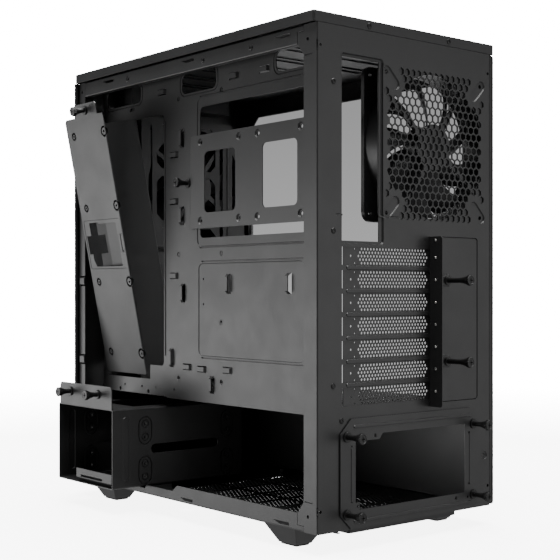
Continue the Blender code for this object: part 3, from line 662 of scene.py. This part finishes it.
CASE_BACK, CASE_FRONT = -1.3, -394.7
RAIL_BACK, RAIL_FRONT, RAIL_FRONT_LEFT = -17.8, -383.1, -375.2
TRAY_X = -24
RAIL_H = 15.6
GUSSET = 26.2


def hook_slot(y, z):
    """A slot in a rail that a side panel's hook slides into, as (z, y): a wide end and a tapered one."""
    return [(z + 1, y - 11), (z - 0.3, y - 5.5), (z - 1.5, y - 2.5), (z - 1.5, y + 11), (z + 1.2, y + 11),
            (z + 1.2, y - 5.5)]


def chassis_floor():
    fold = Fold([(0, RAIL_H), (0, 0), (-WIDTH, 0), (-WIDTH, RAIL_H)])

    def spread(x, y):
        """A place on the floor, or on the open side's rail where its height stands for the X."""
        return (RAIL_H - x if x > 0 else fold.on(1, -x)), y

    near, far = fold.on(1, BEND_R), fold.on(1, WIDTH - BEND_R)
    rail = [(5.9, RAIL_FRONT), (5.9, -264), (9.4, -262), (9.4, -215), (RAIL_H, -207.3), (RAIL_H, -GUSSET),
            (4.9, -GUSSET), (4.9, RAIL_BACK)]
    outline = [*[spread(*point) for point in rail],
               (near, RAIL_BACK), (near, CASE_BACK), (far, CASE_BACK), (far, RAIL_BACK),
               (fold.length, RAIL_BACK), (fold.length, RAIL_FRONT_LEFT), (far, RAIL_FRONT_LEFT),
               (far, CASE_FRONT), (near, CASE_FRONT), (near, RAIL_FRONT)]
    floor = Plate("Y", fold, outline, 0.5, spread)
    for y in (-48, -192):
        floor.cut(hook_slot(y, 4.2))
    pitch, column = 4.6, 4
    for field_y in (-262, -223, -184, -145, -106, -67):
        for row in range(8):
            shift = pitch / 2 * (row % 2)
            for i in range(29):
                x = -46 - shift - i * pitch
                if abs((x + 46) % 46 - 23) <= 20.2:
                    floor.cut(circle(x, field_y + row * column, 1.75, 6))
    for y in (-372, -274):
        floor.press(rounded(-200, y, -6, y + 6, 2), -5.9, 0.9)
    floor.press(rounded(-186, -278, -36, -264.5, 4), 0.7, 0.8)
    floor.cut(rounded(-44, -249, -28, -239, 3), rounded(-176, -258, -160, -250, 3), circle(-14, -300, 2.2, 12),
              circle(-14, -232, 1.8, 12), *[circle(x, y, 2.3, 12) for x, y in FOOT_AT.values()])
    bm = bmesh.new()
    floor.fill(bm)
    for wall, inward in ((-181.6, 1), (-40.4, -1)):
        guide = [(wall, 0), (wall, -6.5), (wall + 4 * inward, -6.5)]
        guide = Fold(guide if inward > 0 else guide[::-1], 1.1)
        Plate("Y", guide, rectangle(0, -262, guide.length, -20), 0.9).fill(bm)
    piece("floor_pressed", bm, POWDER, replaces="chassis_floor")


def top_frame():
    low_left, low = 414, 418
    fold = Fold([(-WIDTH, low_left), (-WIDTH, HEIGHT), (0, HEIGHT), (0, low), (-5, low)])

    def spread(x, y):
        """A place on the roof, or on the open side's rail where its height stands for the X."""
        return (fold.on(2, HEIGHT - x) if x > 0 else fold.on(1, x + WIDTH)), y

    near, far = fold.on(1, BEND_R), fold.on(1, WIDTH - BEND_R)
    outline = [(0, RAIL_FRONT_LEFT), (0, RAIL_BACK), (near, RAIL_BACK), (near, CASE_BACK), (far, CASE_BACK),
               (far, RAIL_BACK), spread(428.9, RAIL_BACK), spread(428.9, -GUSSET), (fold.length, -GUSSET),
               (fold.length, RAIL_FRONT), (far, RAIL_FRONT), (far, CASE_FRONT), (near, CASE_FRONT),
               (near, RAIL_FRONT_LEFT)]
    top = Plate("Y", fold, outline, spread=spread)
    for y in range(-320, -40, 45):
        for slot_y in (y - 6.5, y + 6.5):
            top.cut(capsule(-186, slot_y, -49, slot_y, 4.2))
    top.cut(rectangle(-182, -386, -40, -356), *[hook_slot(y, 428.6) for y in (-335.6, -190, -46.5)])
    for y in (-297, -164, -90):
        top.dimple(426, y, 1.2, 2.4, -1.1, 0.9)
    plate_piece("roof_pressed", [top], replaces="top_frame")


FRONT_FANS = {"lower": (-140, 180), "upper": (-140, 326)}


def front_frame():
    fold = Fold([(0, -383.4), (0, -DEPTH), (-WIDTH, -DEPTH), (-WIDTH, -375.5)])

    def post(loop):
        return [(-383.4 - y, z) for y, z in loop]

    def plate(loop):
        return [(fold.on(1, -x), z) for x, z in loop]

    front = Plate("Z", fold, rectangle(0, 0, fold.length, HEIGHT))
    for x, z in FRONT_FANS.values():
        front.cut(plate(circle(x, z, 65.5, 48)))
        for sx, sz in CORNERS:
            front.cut(plate(capsule(x + sx * 52.5, z + sz * 62.5, x + sx * 62.5, z + sz * 62.5, 2.3)))
    front.cut(plate(rounded(-52, 250, -34, 300, 4)), plate(rounded(-52, 60, -34, 104, 4)))
    for z in (217, 131.4):
        for edge in (-4.7, 4.7):
            front.cut(post(rectangle(-393.2, z + edge - 0.8, -382, z + edge + 0.8)))
    front.press(post(rounded(-393.4, 395, -386, 413, 2.5)), -0.7, 0.6)
    front.cut(post(circle(-389.5, 404, 1.3, 10)), post(circle(-389.3, 424, 1.5, 10)))
    bm = bmesh.new()
    front.fill(bm)
    for z in (217, 131.4):
        add_box(bm, (0.1, -391.8, z - 3.6), (1.9, -382.6, z + 3.6), 0.6)
    piece("front_sheet_pressed", bm, POWDER, replaces="front_frame")


def fan_bracket():
    """The sheet behind the front fans: air windows, long slots and a pressed line."""
    bracket = flat("Y", -368.4, rounded(-190.7, 104, -63.5, 402, 3))
    for z in (136, 194.5, 253, 311.5, 370):
        bracket.cut(chamfered(-166, z - 25, -84, z + 25, 7))
    for x in (-174.6, -75.4):
        for z in (114, 264):
            bracket.cut(rounded(x - 2.4, z, x + 2.4, z + 130, 2.3))
    bracket.press(capsule(-184, 112, -184, 394, 1.6), 0.9, 0.8)
    plate_piece("fan_bracket_pressed", [bracket], replaces="fan_bracket")


def motherboard_tray():
    tray = flat("X", TRAY_X, [(RAIL_FRONT, 97.9), (-264, 97.9), (-259, 96.6), (CASE_BACK, 96.6),
                              (CASE_BACK, 432.5), (RAIL_FRONT, 432.5)])
    tray.cut(rounded(-202.7, 258.5, -36, 388, 5))
    tray.press(rounded(-207, 250, -31, 397.5, 7), -0.6, 0.6)
    for z in (248.9, 398.4):
        tray.press(capsule(-202, z, -46, z, 0.6), -1.2, 0.3)
    for low_y, low_z, high_y, high_z in ((-376, 405.5, -308.6, 424), (-233, 404, -175.5, 424),
                                         (-84, 405.5, -28, 424)):
        tray.cut(rounded(low_y, low_z, high_y, high_z, 6))
        tray.groove(rounded(low_y - 3.6, low_z - 3, high_y + 3.6, high_z + 3, 9), 0.8, 0.3, 0.4)
    tray.cut([(-376, 114), (-291, 114), (-291, 129), (-269.3, 129), (-266.5, 130.2),
              (-265.3, 133), (-265.3, 384), (-266.5, 386.8), (-269.3, 388), (-376, 388)],
             circle(-222.6, 314, 2.4, 12), circle(-328, 399.4, 2.4, 12))
    tray.press(capsule(-262.6, 140, -262.6, 380, 0.6), 0.8, 0.35)
    tray.press(rounded(-204.6, 142, -45, 233.4, 6), -0.6, 0.6)
    for z in (235.3, 140.3):
        tray.press(capsule(-199, z, -46, z, 0.65), -1.3, 0.3)
    for y, z in ((-239, 400.5), (-167, 400.5), (-323, 400), (-239, 243), (-167, 242.6),
                 (-239, 118), (-167, 118)):
        tray.dimple(y, z, 1, 1.9, -1.4, 0.7, 14)
    tray.cut(*[circle(y, 105.8, 1.3, 10) for y in (-340, -306.6, -280, -247)],
             *[circle(y, 101, 2.2, 12) for y in (-349, -294.5)],
             *[circle(-197, z, 1.2, 10) for z in (218, 193)])
    tray.dimple(-168.7, 176.5, 1.5, 2.6, -1, 0.9)
    for y, z in ((-233, 360), (-233, 282), (-231, 204), (-251, 138), (-182, 114.5),
                 (-156, 213), (-66, 213)):
        tray.lance(y, z, 19 if z > 120 else 17, 3.6, 3, 1.7, upright=True)
    for y, z in ((-269, 411), (-147, 411), (-101, 411), (-247, 344.5), (-247, 297),
                 (-247, 221.5), (-224, 130), (-199, 129), (-157, 130)):
        tray.lance(y, z, 15, 4.4, 2.2, 1.1)
    plate_piece("tray_pressed", [tray], replaces="motherboard_tray")

    bm = bmesh.new()
    for y, z in ((-239, 400.5), (-167, 400.5), (-239, 243), (-167, 242.6), (-8.5, 400.5), (-8.5, 243),
                 (-323, 400)):
        add_turned(bm, [(1.9, -0.6), (2.8, 0.3), (2.8, 6.2), (2.5, 6.5), (1.5, 6.5), (1.5, 3)], 6,
                   aim((TRAY_X - 1, y, z), (-1, 0, 0)))
    piece("board_standoffs", bm, SCREW, smooth=25)


def psu_shroud():
    fold = Fold([(-218, 1.3), (-218, 100), (-28, 100)])
    shroud = Plate("Y", fold, rectangle(0, CASE_FRONT, fold.length, CASE_BACK),
                   spread=lambda x, y: (fold.on(1, x + 218), y))
    for y in (-318, -240, -162):
        shroud.cut(capsule(-120, y, -60, y, 9))
    for row in range(9):
        for i in range(16):
            shroud.cut(circle(-195 + 7 * i + 3.5 * (row % 2), -96 + 6.1 * row, 2.3, 8))
    plate_piece("shroud_folded", [shroud], replaces="psu_shroud")


# Cable cover

HINGE = Matrix.Translation((-22.3, 0, 118.4)) @ Matrix.Rotation(radians(11.3), 4, "Y")


def cable_cover():
    y_back, y_front, deep, tall = -294.6, -373, 40, 275
    fold = Fold([(-deep, y_back - 3.5), (-deep, y_back), (0, y_back), (0, y_front), (-deep, y_front),
                 (-deep, y_front + 3.5)], 1.5)

    def face(y, z):
        return fold.on(2, y_back - y), z

    right, left = fold.on(2, 1.5), fold.on(2, y_back - y_front - 1.5)
    tab = [face(*point) for point in ((-306, tall), (-306, 286), (-308, 288), (-347, 288),
                                      (-349, 286), (-349, tall))]
    outline = [(0, 4), (right - 2.2, 4), (right, 0), (left, 0), (left + 2.2, 4), (fold.length, 4),
               (fold.length, 264), (left + 2.2, 264), (left + 0.4, tall - 3), (left - 2.6, tall), *tab[::-1],
               (right, tall), (right - 2.2, 264), (0, 264)]
    cover = Plate("Z", fold, outline, spread=face)
    for z in (256.2, 179.4, 99.4, 22.5):
        for y, radius in ((-358.4, 4.4), (-298, 5.8)):
            cover.groove(circle(y, z, radius, 24), 2.4, 1.3, 0.4)
            cover.cut(circle(y, z, 1.3, 12))
    cover.cut([(-359, 163.5), (-340.6, 163.5), (-340.6, 162), (-306, 162), (-306, 150), (-297, 150),
               (-297, 129.5), (-306, 129.5), (-306, 116), (-357, 116), (-361, 123),
               (-361, 129.5), (-367.4, 129.5), (-367.4, 149.5), (-359, 149.5)],
              circle(-328, 281, 2.4, 12))
    cover.press(rounded(-369.5, 113.4, -296.6, 166.4, 3), -0.4, 0.5)
    cover.press(rounded(-317, 277.6, -309.6, 286, 0.8), -0.4, 0.5)
    bm = bmesh.new()
    cover.fill(bm, HINGE)
    deep_sheet = Fold([(-11, -296.8), (-11, -322), (-7.5, -337), (-2.6, -348)], 10, 6)
    end = deep_sheet.length
    behind = Plate("Z", deep_sheet, [(0, 112), (end, 112), (end, 129.5), (end - 9, 129.5), (end - 9, 149.5),
                                     (end, 149.5), (end, 167), (0, 167)], 0.8)
    behind.groove(rectangle(9, 129.5, 22, 149.5), 1.2, 0.8, 0.3)
    behind.fill(bm, HINGE)
    piece("cable_cover_pressed", bm, POWDER, body="cable_cover", replaces="cable_cover")
    position = HINGE @ Vector((0.3, -328, 281))
    direction = HINGE.to_3x3() @ Vector((1, 0, 0))
    thumbscrew("cable_cover_screw", position, direction, 5, 15.2)


# Drive mounts

def hdd_cage():
    y0, y1, z0, z1, x0, x1 = -373.8, -266.2, 7.2, 87.2, -125.9, 37.2
    seam = (y0 + y1) / 2
    fold = Fold([(seam, z0), (y0, z0), (y0, z1), (y1, z1), (y1, z0), (seam + 0.1, z0)], 2)
    tube = Plate("X", fold, rectangle(0, x0, fold.length, x1))

    def wall(run, loop):
        return [(fold.on(run, z - z0 if run == 1 else z1 - z), x) for x, z in loop]

    for run in (1, 3):
        tube.cut(wall(run, capsule(-89.2, 45, -13.4, 45, 4.6)))
        tube.press(wall(run, rounded(17.9, 14.8, 25.6, 79.3, 3.7)), 0.6, 0.6)
        for x in (-1.6, -105.3):
            for z in (64.3, 23.8):
                tube.groove(wall(run, capsule(x, z - 6.3, x, z + 6.3, 8.4)), 1.2, 0.8, 0.35)
                for hole in (-6.7, 6.7):
                    tube.cut(wall(run, circle(x, z + hole, 1.4, 12)))
                    tube.groove(wall(run, circle(x, z + hole, 4.4, 16)), 1.1, 0.8, 0.35)
    tube.cut(rectangle(fold.on(2, 20), -100, fold.on(2, 88), 0))
    tab = flat("X", x1 - 0.2, [(-371.8, z1 + 0.1), (-268.2, z1 + 0.1), (-268.2, 106), (-269.3, 108.8),
                               (-272, 109.9), (-368, 109.9), (-370.7, 108.8), (-371.8, 106)])
    for y in (-349, -294.5):
        tab.cut(circle(y, 101, 2.4, 12))
    lip_fold = Fold([(37, 22), (37, 12.4), (31.5, z0 + 0.6)], 1)
    lip = Plate("Y", lip_fold, rectangle(0, -337.4, lip_fold.length, -268.4))
    lip.cut(rectangle(6.1, -328.6, 8.5, -286))
    plate_piece("cage_pressed", [tube, tab, lip], body="hdd_cage", replaces="hdd_cage")
    for place, y in (("front", -349), ("back", -294.5)):
        thumbscrew(f"cage_screw_{place}", (x1 + 0.3, y, 101), (1, 0, 0), 5, 15.2)


def ssd_plate():
    foot, out = TRAY_X + 1.3, -17
    fold = Fold([(foot, -26), (foot, -34), (out, -34), (out, -209), (foot, -209), (foot, -215)], 1.2)
    plate = Plate("Z", fold, rectangle(0, 267.4, fold.length, 358.6),
                  spread=lambda y, z: (fold.on(2, -34 - y), z))
    for low_y, high_y in ((-185.4, -135.8), (-95.3, -46)):
        plate.cut(rounded(low_y, 282.4, high_y, 341.8, 5))
    for y in (-192, -130.6, -102.5, -41.3):
        for z in (351.5, 274.8):
            plate.dimple(y, z, 1.7, 2.9, -1.4, 1)
    plate_piece("ssd_plate_pressed", [plate], replaces="ssd_plate")
    thumbscrew("tray_screw", (TRAY_X + 0.3, -222.6, 314), (1, 0, 0), 5, 15.2)


# Covers, panels and feet

def top_cover():
    low_x, low_y, high_x, high_y = -228, -398, 4.1, 0
    top, bottom, wall = 443.9, 434.1, 1.2

    def ring(step, z):
        return [(x, y, z) for x, y in rounded(low_x + step, low_y + step, high_x - step, high_y - step,
                                              max(0.3, 2.4 - step), 3)]

    bm = bmesh.new()
    add_loft(bm, [ring(1.5, top), ring(1, top - 0.1), ring(0.5, top - 0.4), ring(0.15, top - 0.9),
                  ring(0, top - 1.5), ring(0, bottom + 0.3), ring(0.3, bottom), ring(wall, bottom),
                  ring(wall, top - 1.5), ring(1.5, top - 1.5)], closed=True)
    lid = flat("Z", top, rounded(low_x + 1.5, low_y + 1.5, high_x - 1.5, high_y - 1.5, 0.9, 3), wall)
    for x, radius in ((-60, 7.5), (-80, 3.2)):
        lid.cut(circle(x, -371, radius + 0.4, 32))
    for x in (-104, -128):
        lid.cut(rectangle(x - 6.7, -373.9, x + 6.7, -368.1))
    for x in (-148, -160):
        lid.cut(circle(x, -371, 2, 20))
    lid.press(rounded(-206, -330, -18, -30, 8), -0.5, 0.8)
    lid.fill(bm)
    piece("top_cover_pressed", bm, COVER, replaces="top_cover")


def glass_panel():
    """The tempered pane with the black border that is printed round its edge."""
    low, high = (to_case(corner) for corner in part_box("glass_panel"))
    edge = 0.9

    def ring(x, step, radius):
        outline = rounded(low.y + step, low.z + step, high.y - step, high.z - step, radius)
        return [(x, y, z) for y, z in outline]

    bm = bmesh.new()
    add_loft(bm, [ring(low.x, edge, 3), ring(low.x + edge, 0, 3), ring(high.x - edge, 0, 3),
                  ring(high.x, edge, 3), ring(high.x, 15, 4), ring(low.x, 15, 4)], closed=True)
    piece("glass_border_printed", bm, PRINTED, replaces="glass_panel")
    bm = bmesh.new()
    add_loft(bm, [ring(low.x + 0.13, 15.02, 4), ring(high.x - 0.13, 15.02, 4)])
    piece("glass_pane", bm, GLASS, replaces="glass_panel")


def psu_filter():
    """The slide-out frame under the power supply bay, with three ribs and its filter cloth."""
    low, high = (to_case(corner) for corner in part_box("psu_filter"))
    frame = flat("Z", high.z, rounded(low.x, low.y, high.x, high.y, 3), high.z - low.z)
    frame.cut(rounded(low.x + 5, low.y + 5, high.x - 5, high.y - 10, 4))
    frame.press(rounded(low.x + 40, high.y - 7.5, high.x - 40, high.y - 2.5, 2), -0.5, 0.6)
    bm = bmesh.new()
    frame.fill(bm)
    for rib in range(1, 4):
        y = low.y + 5 + rib * (high.y - low.y - 15) / 4
        add_box(bm, (low.x + 4.8, y - 1.6, low.z + 0.3), (high.x - 4.8, y + 1.6, low.z + 1.9), 0.4)
    piece("psu_filter_frame", bm, MOULDED, body="psu_filter", replaces="psu_filter")
    cloth = flat("Z", low.z + 2.6, rounded(low.x + 4.9, low.y + 4.9, high.x - 4.9, high.y - 9.9, 4), 0.3)
    cloth.press(rounded(low.x + 9, low.y + 9, high.x - 9, high.y - 14, 4), -0.2, 1.5)
    plate_piece("psu_filter_cloth", [cloth], FILTER, body="psu_filter", replaces="psu_filter")


def feet():
    foot = ((17.7, 21.2, -0.3, 0.5), (18, 21.5, -0.6, 0.6), (17.8, 21.3, -1.1, 0.6), (9.3, 12.3, -16.6, 0.6),
            (9, 12, -17, 0.6), (7.6, 10.6, -17, 0.5), (7.6, 10.6, -16.1, 0.8))
    pad = [(8 - step, 11 - step, z, 1.6)
           for step, z in ((0, -17.3), (0, -18.1), (0.5, -18.7), (2.2, -18.7), (2.6, -18.4))]
    for name, (x, y) in FOOT_AT.items():
        for sections, label, material, node, smooth in ((foot, "moulded", MOULDED, f"foot_{name}", 20),
                                                        (pad, "soft", RUBBER, f"foot_pad_{name}", 35)):
            bm = bmesh.new()
            add_loft(bm, [[(px, py, z) for px, py in rounded(x - half_x, y - half_y, x + half_x, y + half_y,
                                                             radius, 3)]
                          for half_x, half_y, z, radius in sections])
            piece(f"{node}_{label}", bm, material, replaces=node, smooth=smooth)


# Fans

def fan_frame(name, x, y_low, z):
    """Two flanges with screw holes, the duct between them, the motor mount and its four struts."""
    depth, half, bore = 25, 70, 66.5
    bm = bmesh.new()
    for level in (y_low + depth, y_low + 4):
        flange = flat("Y", level, rounded(x - half, z - half, x + half, z + half, 9), 4)
        flange.cut(circle(x, z, bore, 64))
        for sx, sz in CORNERS:
            flange.cut(circle(x + sx * 62.5, z + sz * 62.5, 2.2, 12))
        flange.fill(bm)
    axis = aim((x, y_low, z), (0, 1, 0))

    def ring(radius, height, sides=64):
        return [axis @ Vector((px, py, height)) for px, py in circle(0, 0, radius, sides)]

    add_loft(bm, [ring(bore, 4), ring(bore + 2.2, 4), ring(bore + 2.2, depth - 4), ring(bore, depth - 4)],
             closed=True)
    add_loft(bm, [ring(21, depth - 3.4, 48), ring(21.5, depth - 2.9, 48), ring(21.5, depth - 0.6, 48),
                  ring(20.9, depth, 48), ring(12, depth, 48), ring(11, depth - 0.5, 48)])
    for number in range(4):
        turn = radians(30 + 90 * number)
        out = Vector((cos(turn), 0, sin(turn)))
        side = Vector((-sin(turn), 0, cos(turn)))
        loops = []
        for radius, half_width, low, high in ((20.5, 3, 21.8, 25), (44, 2, 22.2, 24.6), (68, 2.4, 21.4, 25)):
            centre = Vector((x, y_low, z)) + out * radius + side * (radius - 20.5) * 0.12
            section = [(half_width, low + 0.6), (half_width, high), (-half_width, high),
                       (-half_width, low + 0.6), (0, low)]
            loops.append([centre + side * across + Vector((0, up, 0)) for across, up in section])
        add_loft(bm, loops)
    piece(f"{name}_frame_moulded", bm, FAN_PLASTIC, replaces=f"{name}_frame")


def fan_rotor(name, x, y_low, z):
    """A hub cap with nine swept, cambered blades."""
    hub_low, hub_high, blades = 2, 19, 9
    bm = bmesh.new()
    axis = aim((x, y_low, z), (0, 1, 0))
    profile = [(0.5, hub_low + 0.6), (14, hub_low + 0.6), (14.6, hub_low), (18.6, hub_low), (20, hub_low + 1.6),
               (20.2, hub_high - 0.4), (19.6, hub_high), (0.5, hub_high)]
    add_turned(bm, profile, 48, axis)
    for number in range(blades):
        start = 2 * pi * number / blades
        loops = []
        for step in range(7):
            share = step / 6
            radius = 19 + share * 45.6
            sweep = start + 0.42 * share ** 1.4
            chord = 17 + 15 * share
            pitch = radians(46 - 20 * share)
            upper, lower = [], []
            for k in range(6):
                u = k / 5 - 0.5
                camber = (0.25 - u * u) * 3.2
                thick = 0.25 + (0.25 - u * u) * 2.6
                for side, rim in ((thick, upper), (-thick, lower)):
                    along = u * chord * cos(pitch) - (camber + side) * sin(pitch)
                    height = 10.6 + u * chord * sin(pitch) + (camber + side) * cos(pitch)
                    angle = sweep + along / radius
                    rim.append(axis @ Vector((radius * cos(angle), radius * sin(angle), height)))
            loops.append(upper + lower[::-1])
        add_loft(bm, loops)
    piece(f"{name}_rotor_swept", bm, FAN_PLASTIC, body=name, replaces=f"{name}_rotor", smooth=50)


def fans():
    places = {"rear_fan": (FAN_CENTRE[0], -26.3, FAN_CENTRE[1])}
    for place, (x, z) in FRONT_FANS.items():
        places[f"front_fan_{place}"] = (x, -394.7, z)
    for name, (x, y_low, z) in places.items():
        fan_frame(name, x, y_low, z)
        fan_rotor(name, x, y_low, z)


# Top sockets and buttons

def ports():
    bm = bmesh.new()
    for x in (-104, -128):
        for y in (-373.5, -369):
            add_box(bm, (x - 6.3, y, 430), (x + 6.3, y + 0.5, 441), 0.1)
    for x in (-148, -160):
        profile = [(1.95, 430), (1.95, 441.4), (1.6, 441.7), (1.45, 441.7), (1.45, 430)]
        add_loft(bm, [[(*point, z) for point in circle(x, -371, radius, 20)] for radius, z in profile],
                 closed=True)
    piece("socket_shells", bm, ZINC)
    bm = bmesh.new()
    for x in (-104, -128):
        add_box(bm, (x - 5.4, -370.3, 430), (x + 5.4, -369.2, 440), 0.2)
    piece("socket_tongues", bm, MOULDED)
    for name, x, radius in (("power_button", -60, 7.5), ("reset_button", -80, 3.2)):
        bm = bmesh.new()
        profile = [(radius, 437), (radius, 443.9), (radius - 0.25, 444.4), (radius - 0.7, 444.6),
                   (radius * 0.75, 444.35), (radius * 0.4, 444.15), (0.05, 444.1)]
        add_turned(bm, profile, 40, Matrix.Translation((x, -371, 0)))
        piece(f"{name}_dished", bm, MOULDED, body=name, replaces=name)


FLOOR_R = 1.9
GLOW_BELOW, GLOW_ABOVE = 0.65, 0.06
THROUGH_GLASS = 0.43
BACKDROP = 18
FLOOR_GLOW = 6
LIGHTS = [  # name, place, aim point, width and height, power
    ("key", (1.25, -0.95, 0.05), (0, 0, 0.17), (1.6, 0.6), 13.8),
    ("back", (-0.9, 1.6, 0.32), (0, 0, 0.18), (1.3, 1), 6.2),
    ("top", (0, 0, 1.9), (0, 0, 0), (2, 2), 150),
]


def stage():
    """A pale floor that fades out into a white studio, soft lights and the camera."""
    mesh = bpy.data.meshes.new("floor")
    bm = bmesh.new()
    bmesh.ops.create_circle(bm, cap_ends=True, segments=96, radius=FLOOR_R)
    bm.to_mesh(mesh)
    bm.free()
    floor = add_object("floor", mesh)
    made, tree, shader = new_material("pale_floor")
    pale = blended(tree, noise(tree, 3), (0.90, 0.90, 0.90), (0.93, 0.93, 0.93))
    scaled = add_node(tree, "Mapping", {"Vector": add_node(tree, "TexCoord", {}, "Object"),
                                        "Scale": (1 / FLOOR_R, 1 / FLOOR_R, 1)})
    centre = add_node(tree, "TexGradient", {"Vector": scaled}, "Fac", gradient_type="SPHERICAL")
    set_inputs(tree, shader, {"Base Color": pale, "Emission Color": (1, 1, 1, 1),
                              "Emission Strength": FLOOR_GLOW, "Roughness": 0.8, "Specular IOR Level": 0.1,
                              "Alpha": ranged(tree, centre, 0.05, 0.62, 0, 1)})
    mesh.materials.append(made)
    floor.visible_shadow = floor.visible_diffuse = floor.visible_glossy = floor.visible_transmission = False

    sky = bpy.data.worlds.new("studio")
    bpy.context.scene.world = sky
    sky.use_nodes = True
    tree = sky.node_tree
    path = tree.nodes.new("ShaderNodeLightPath").outputs
    height = add_node(tree, "SeparateXYZ", {"Vector": add_node(tree, "TexCoord", {}, "Generated")}, "Z")
    strength = ranged(tree, height, -0.35, 0.15, GLOW_BELOW, GLOW_ABOVE)
    for ray, added in (("Is Camera Ray", BACKDROP), ("Is Transmission Ray", THROUGH_GLASS)):
        strength = add_node(tree, "Math", {0: strength, 1: ranged(tree, path[ray], 0, 1, 0, added)})
    set_inputs(tree, tree.nodes["Background"], {"Color": (1, 1, 1, 1), "Strength": strength})

    for name, place, target, size, power in LIGHTS:
        lamp = bpy.data.lights.new(name, "AREA")
        lamp.shape, lamp.energy = "RECTANGLE", power
        lamp.size, lamp.size_y = size
        holder = add_object(name, lamp)
        holder.matrix_world = aim(place, Vector(place) - Vector(target))
        holder.visible_camera = False

    lens = bpy.data.cameras.new("camera")
    lens.lens, lens.sensor_width, lens.shift_y = 75.665, 36, 0.01783
    camera = add_object("camera", lens)
    camera.location = (0.74505, 0.93610, 0.22584)
    camera.rotation_euler = (radians(90), 0, radians(140.339))
    bpy.context.scene.camera = camera


CAD_FINISH = {"cover_steel": COVER, "tinted_glass": GLASS, "front_plastic": MOULDED, "fan_plastic": FAN_PLASTIC,
              "foot_plastic": MOULDED, "rubber_pad": RUBBER, "black_screw": SCREW, "filter_mesh": FILTER}


def finish_cad_nodes():
    """Gives each carried-over CAD node its finish, by the record's material slot."""
    slots = {part["node"]: part["material_slot"] for part in frame["record"]["subparts"]}
    for name, node in frame["nodes"].items():
        material = CAD_FINISH.get(slots[name], POWDER)
        for holder in node.material_slots:
            holder.material = material


stage()
finish_cad_nodes()
rear_panel()
slot_covers()
side_plate()
psu_bracket()
rear_screws()
rear_fixings()
chassis_floor()
top_frame()
front_frame()
fan_bracket()
motherboard_tray()
psu_shroud()
cable_cover()
hdd_cage()
ssd_plate()
top_cover()
glass_panel()
psu_filter()
feet()
fans()
ports()
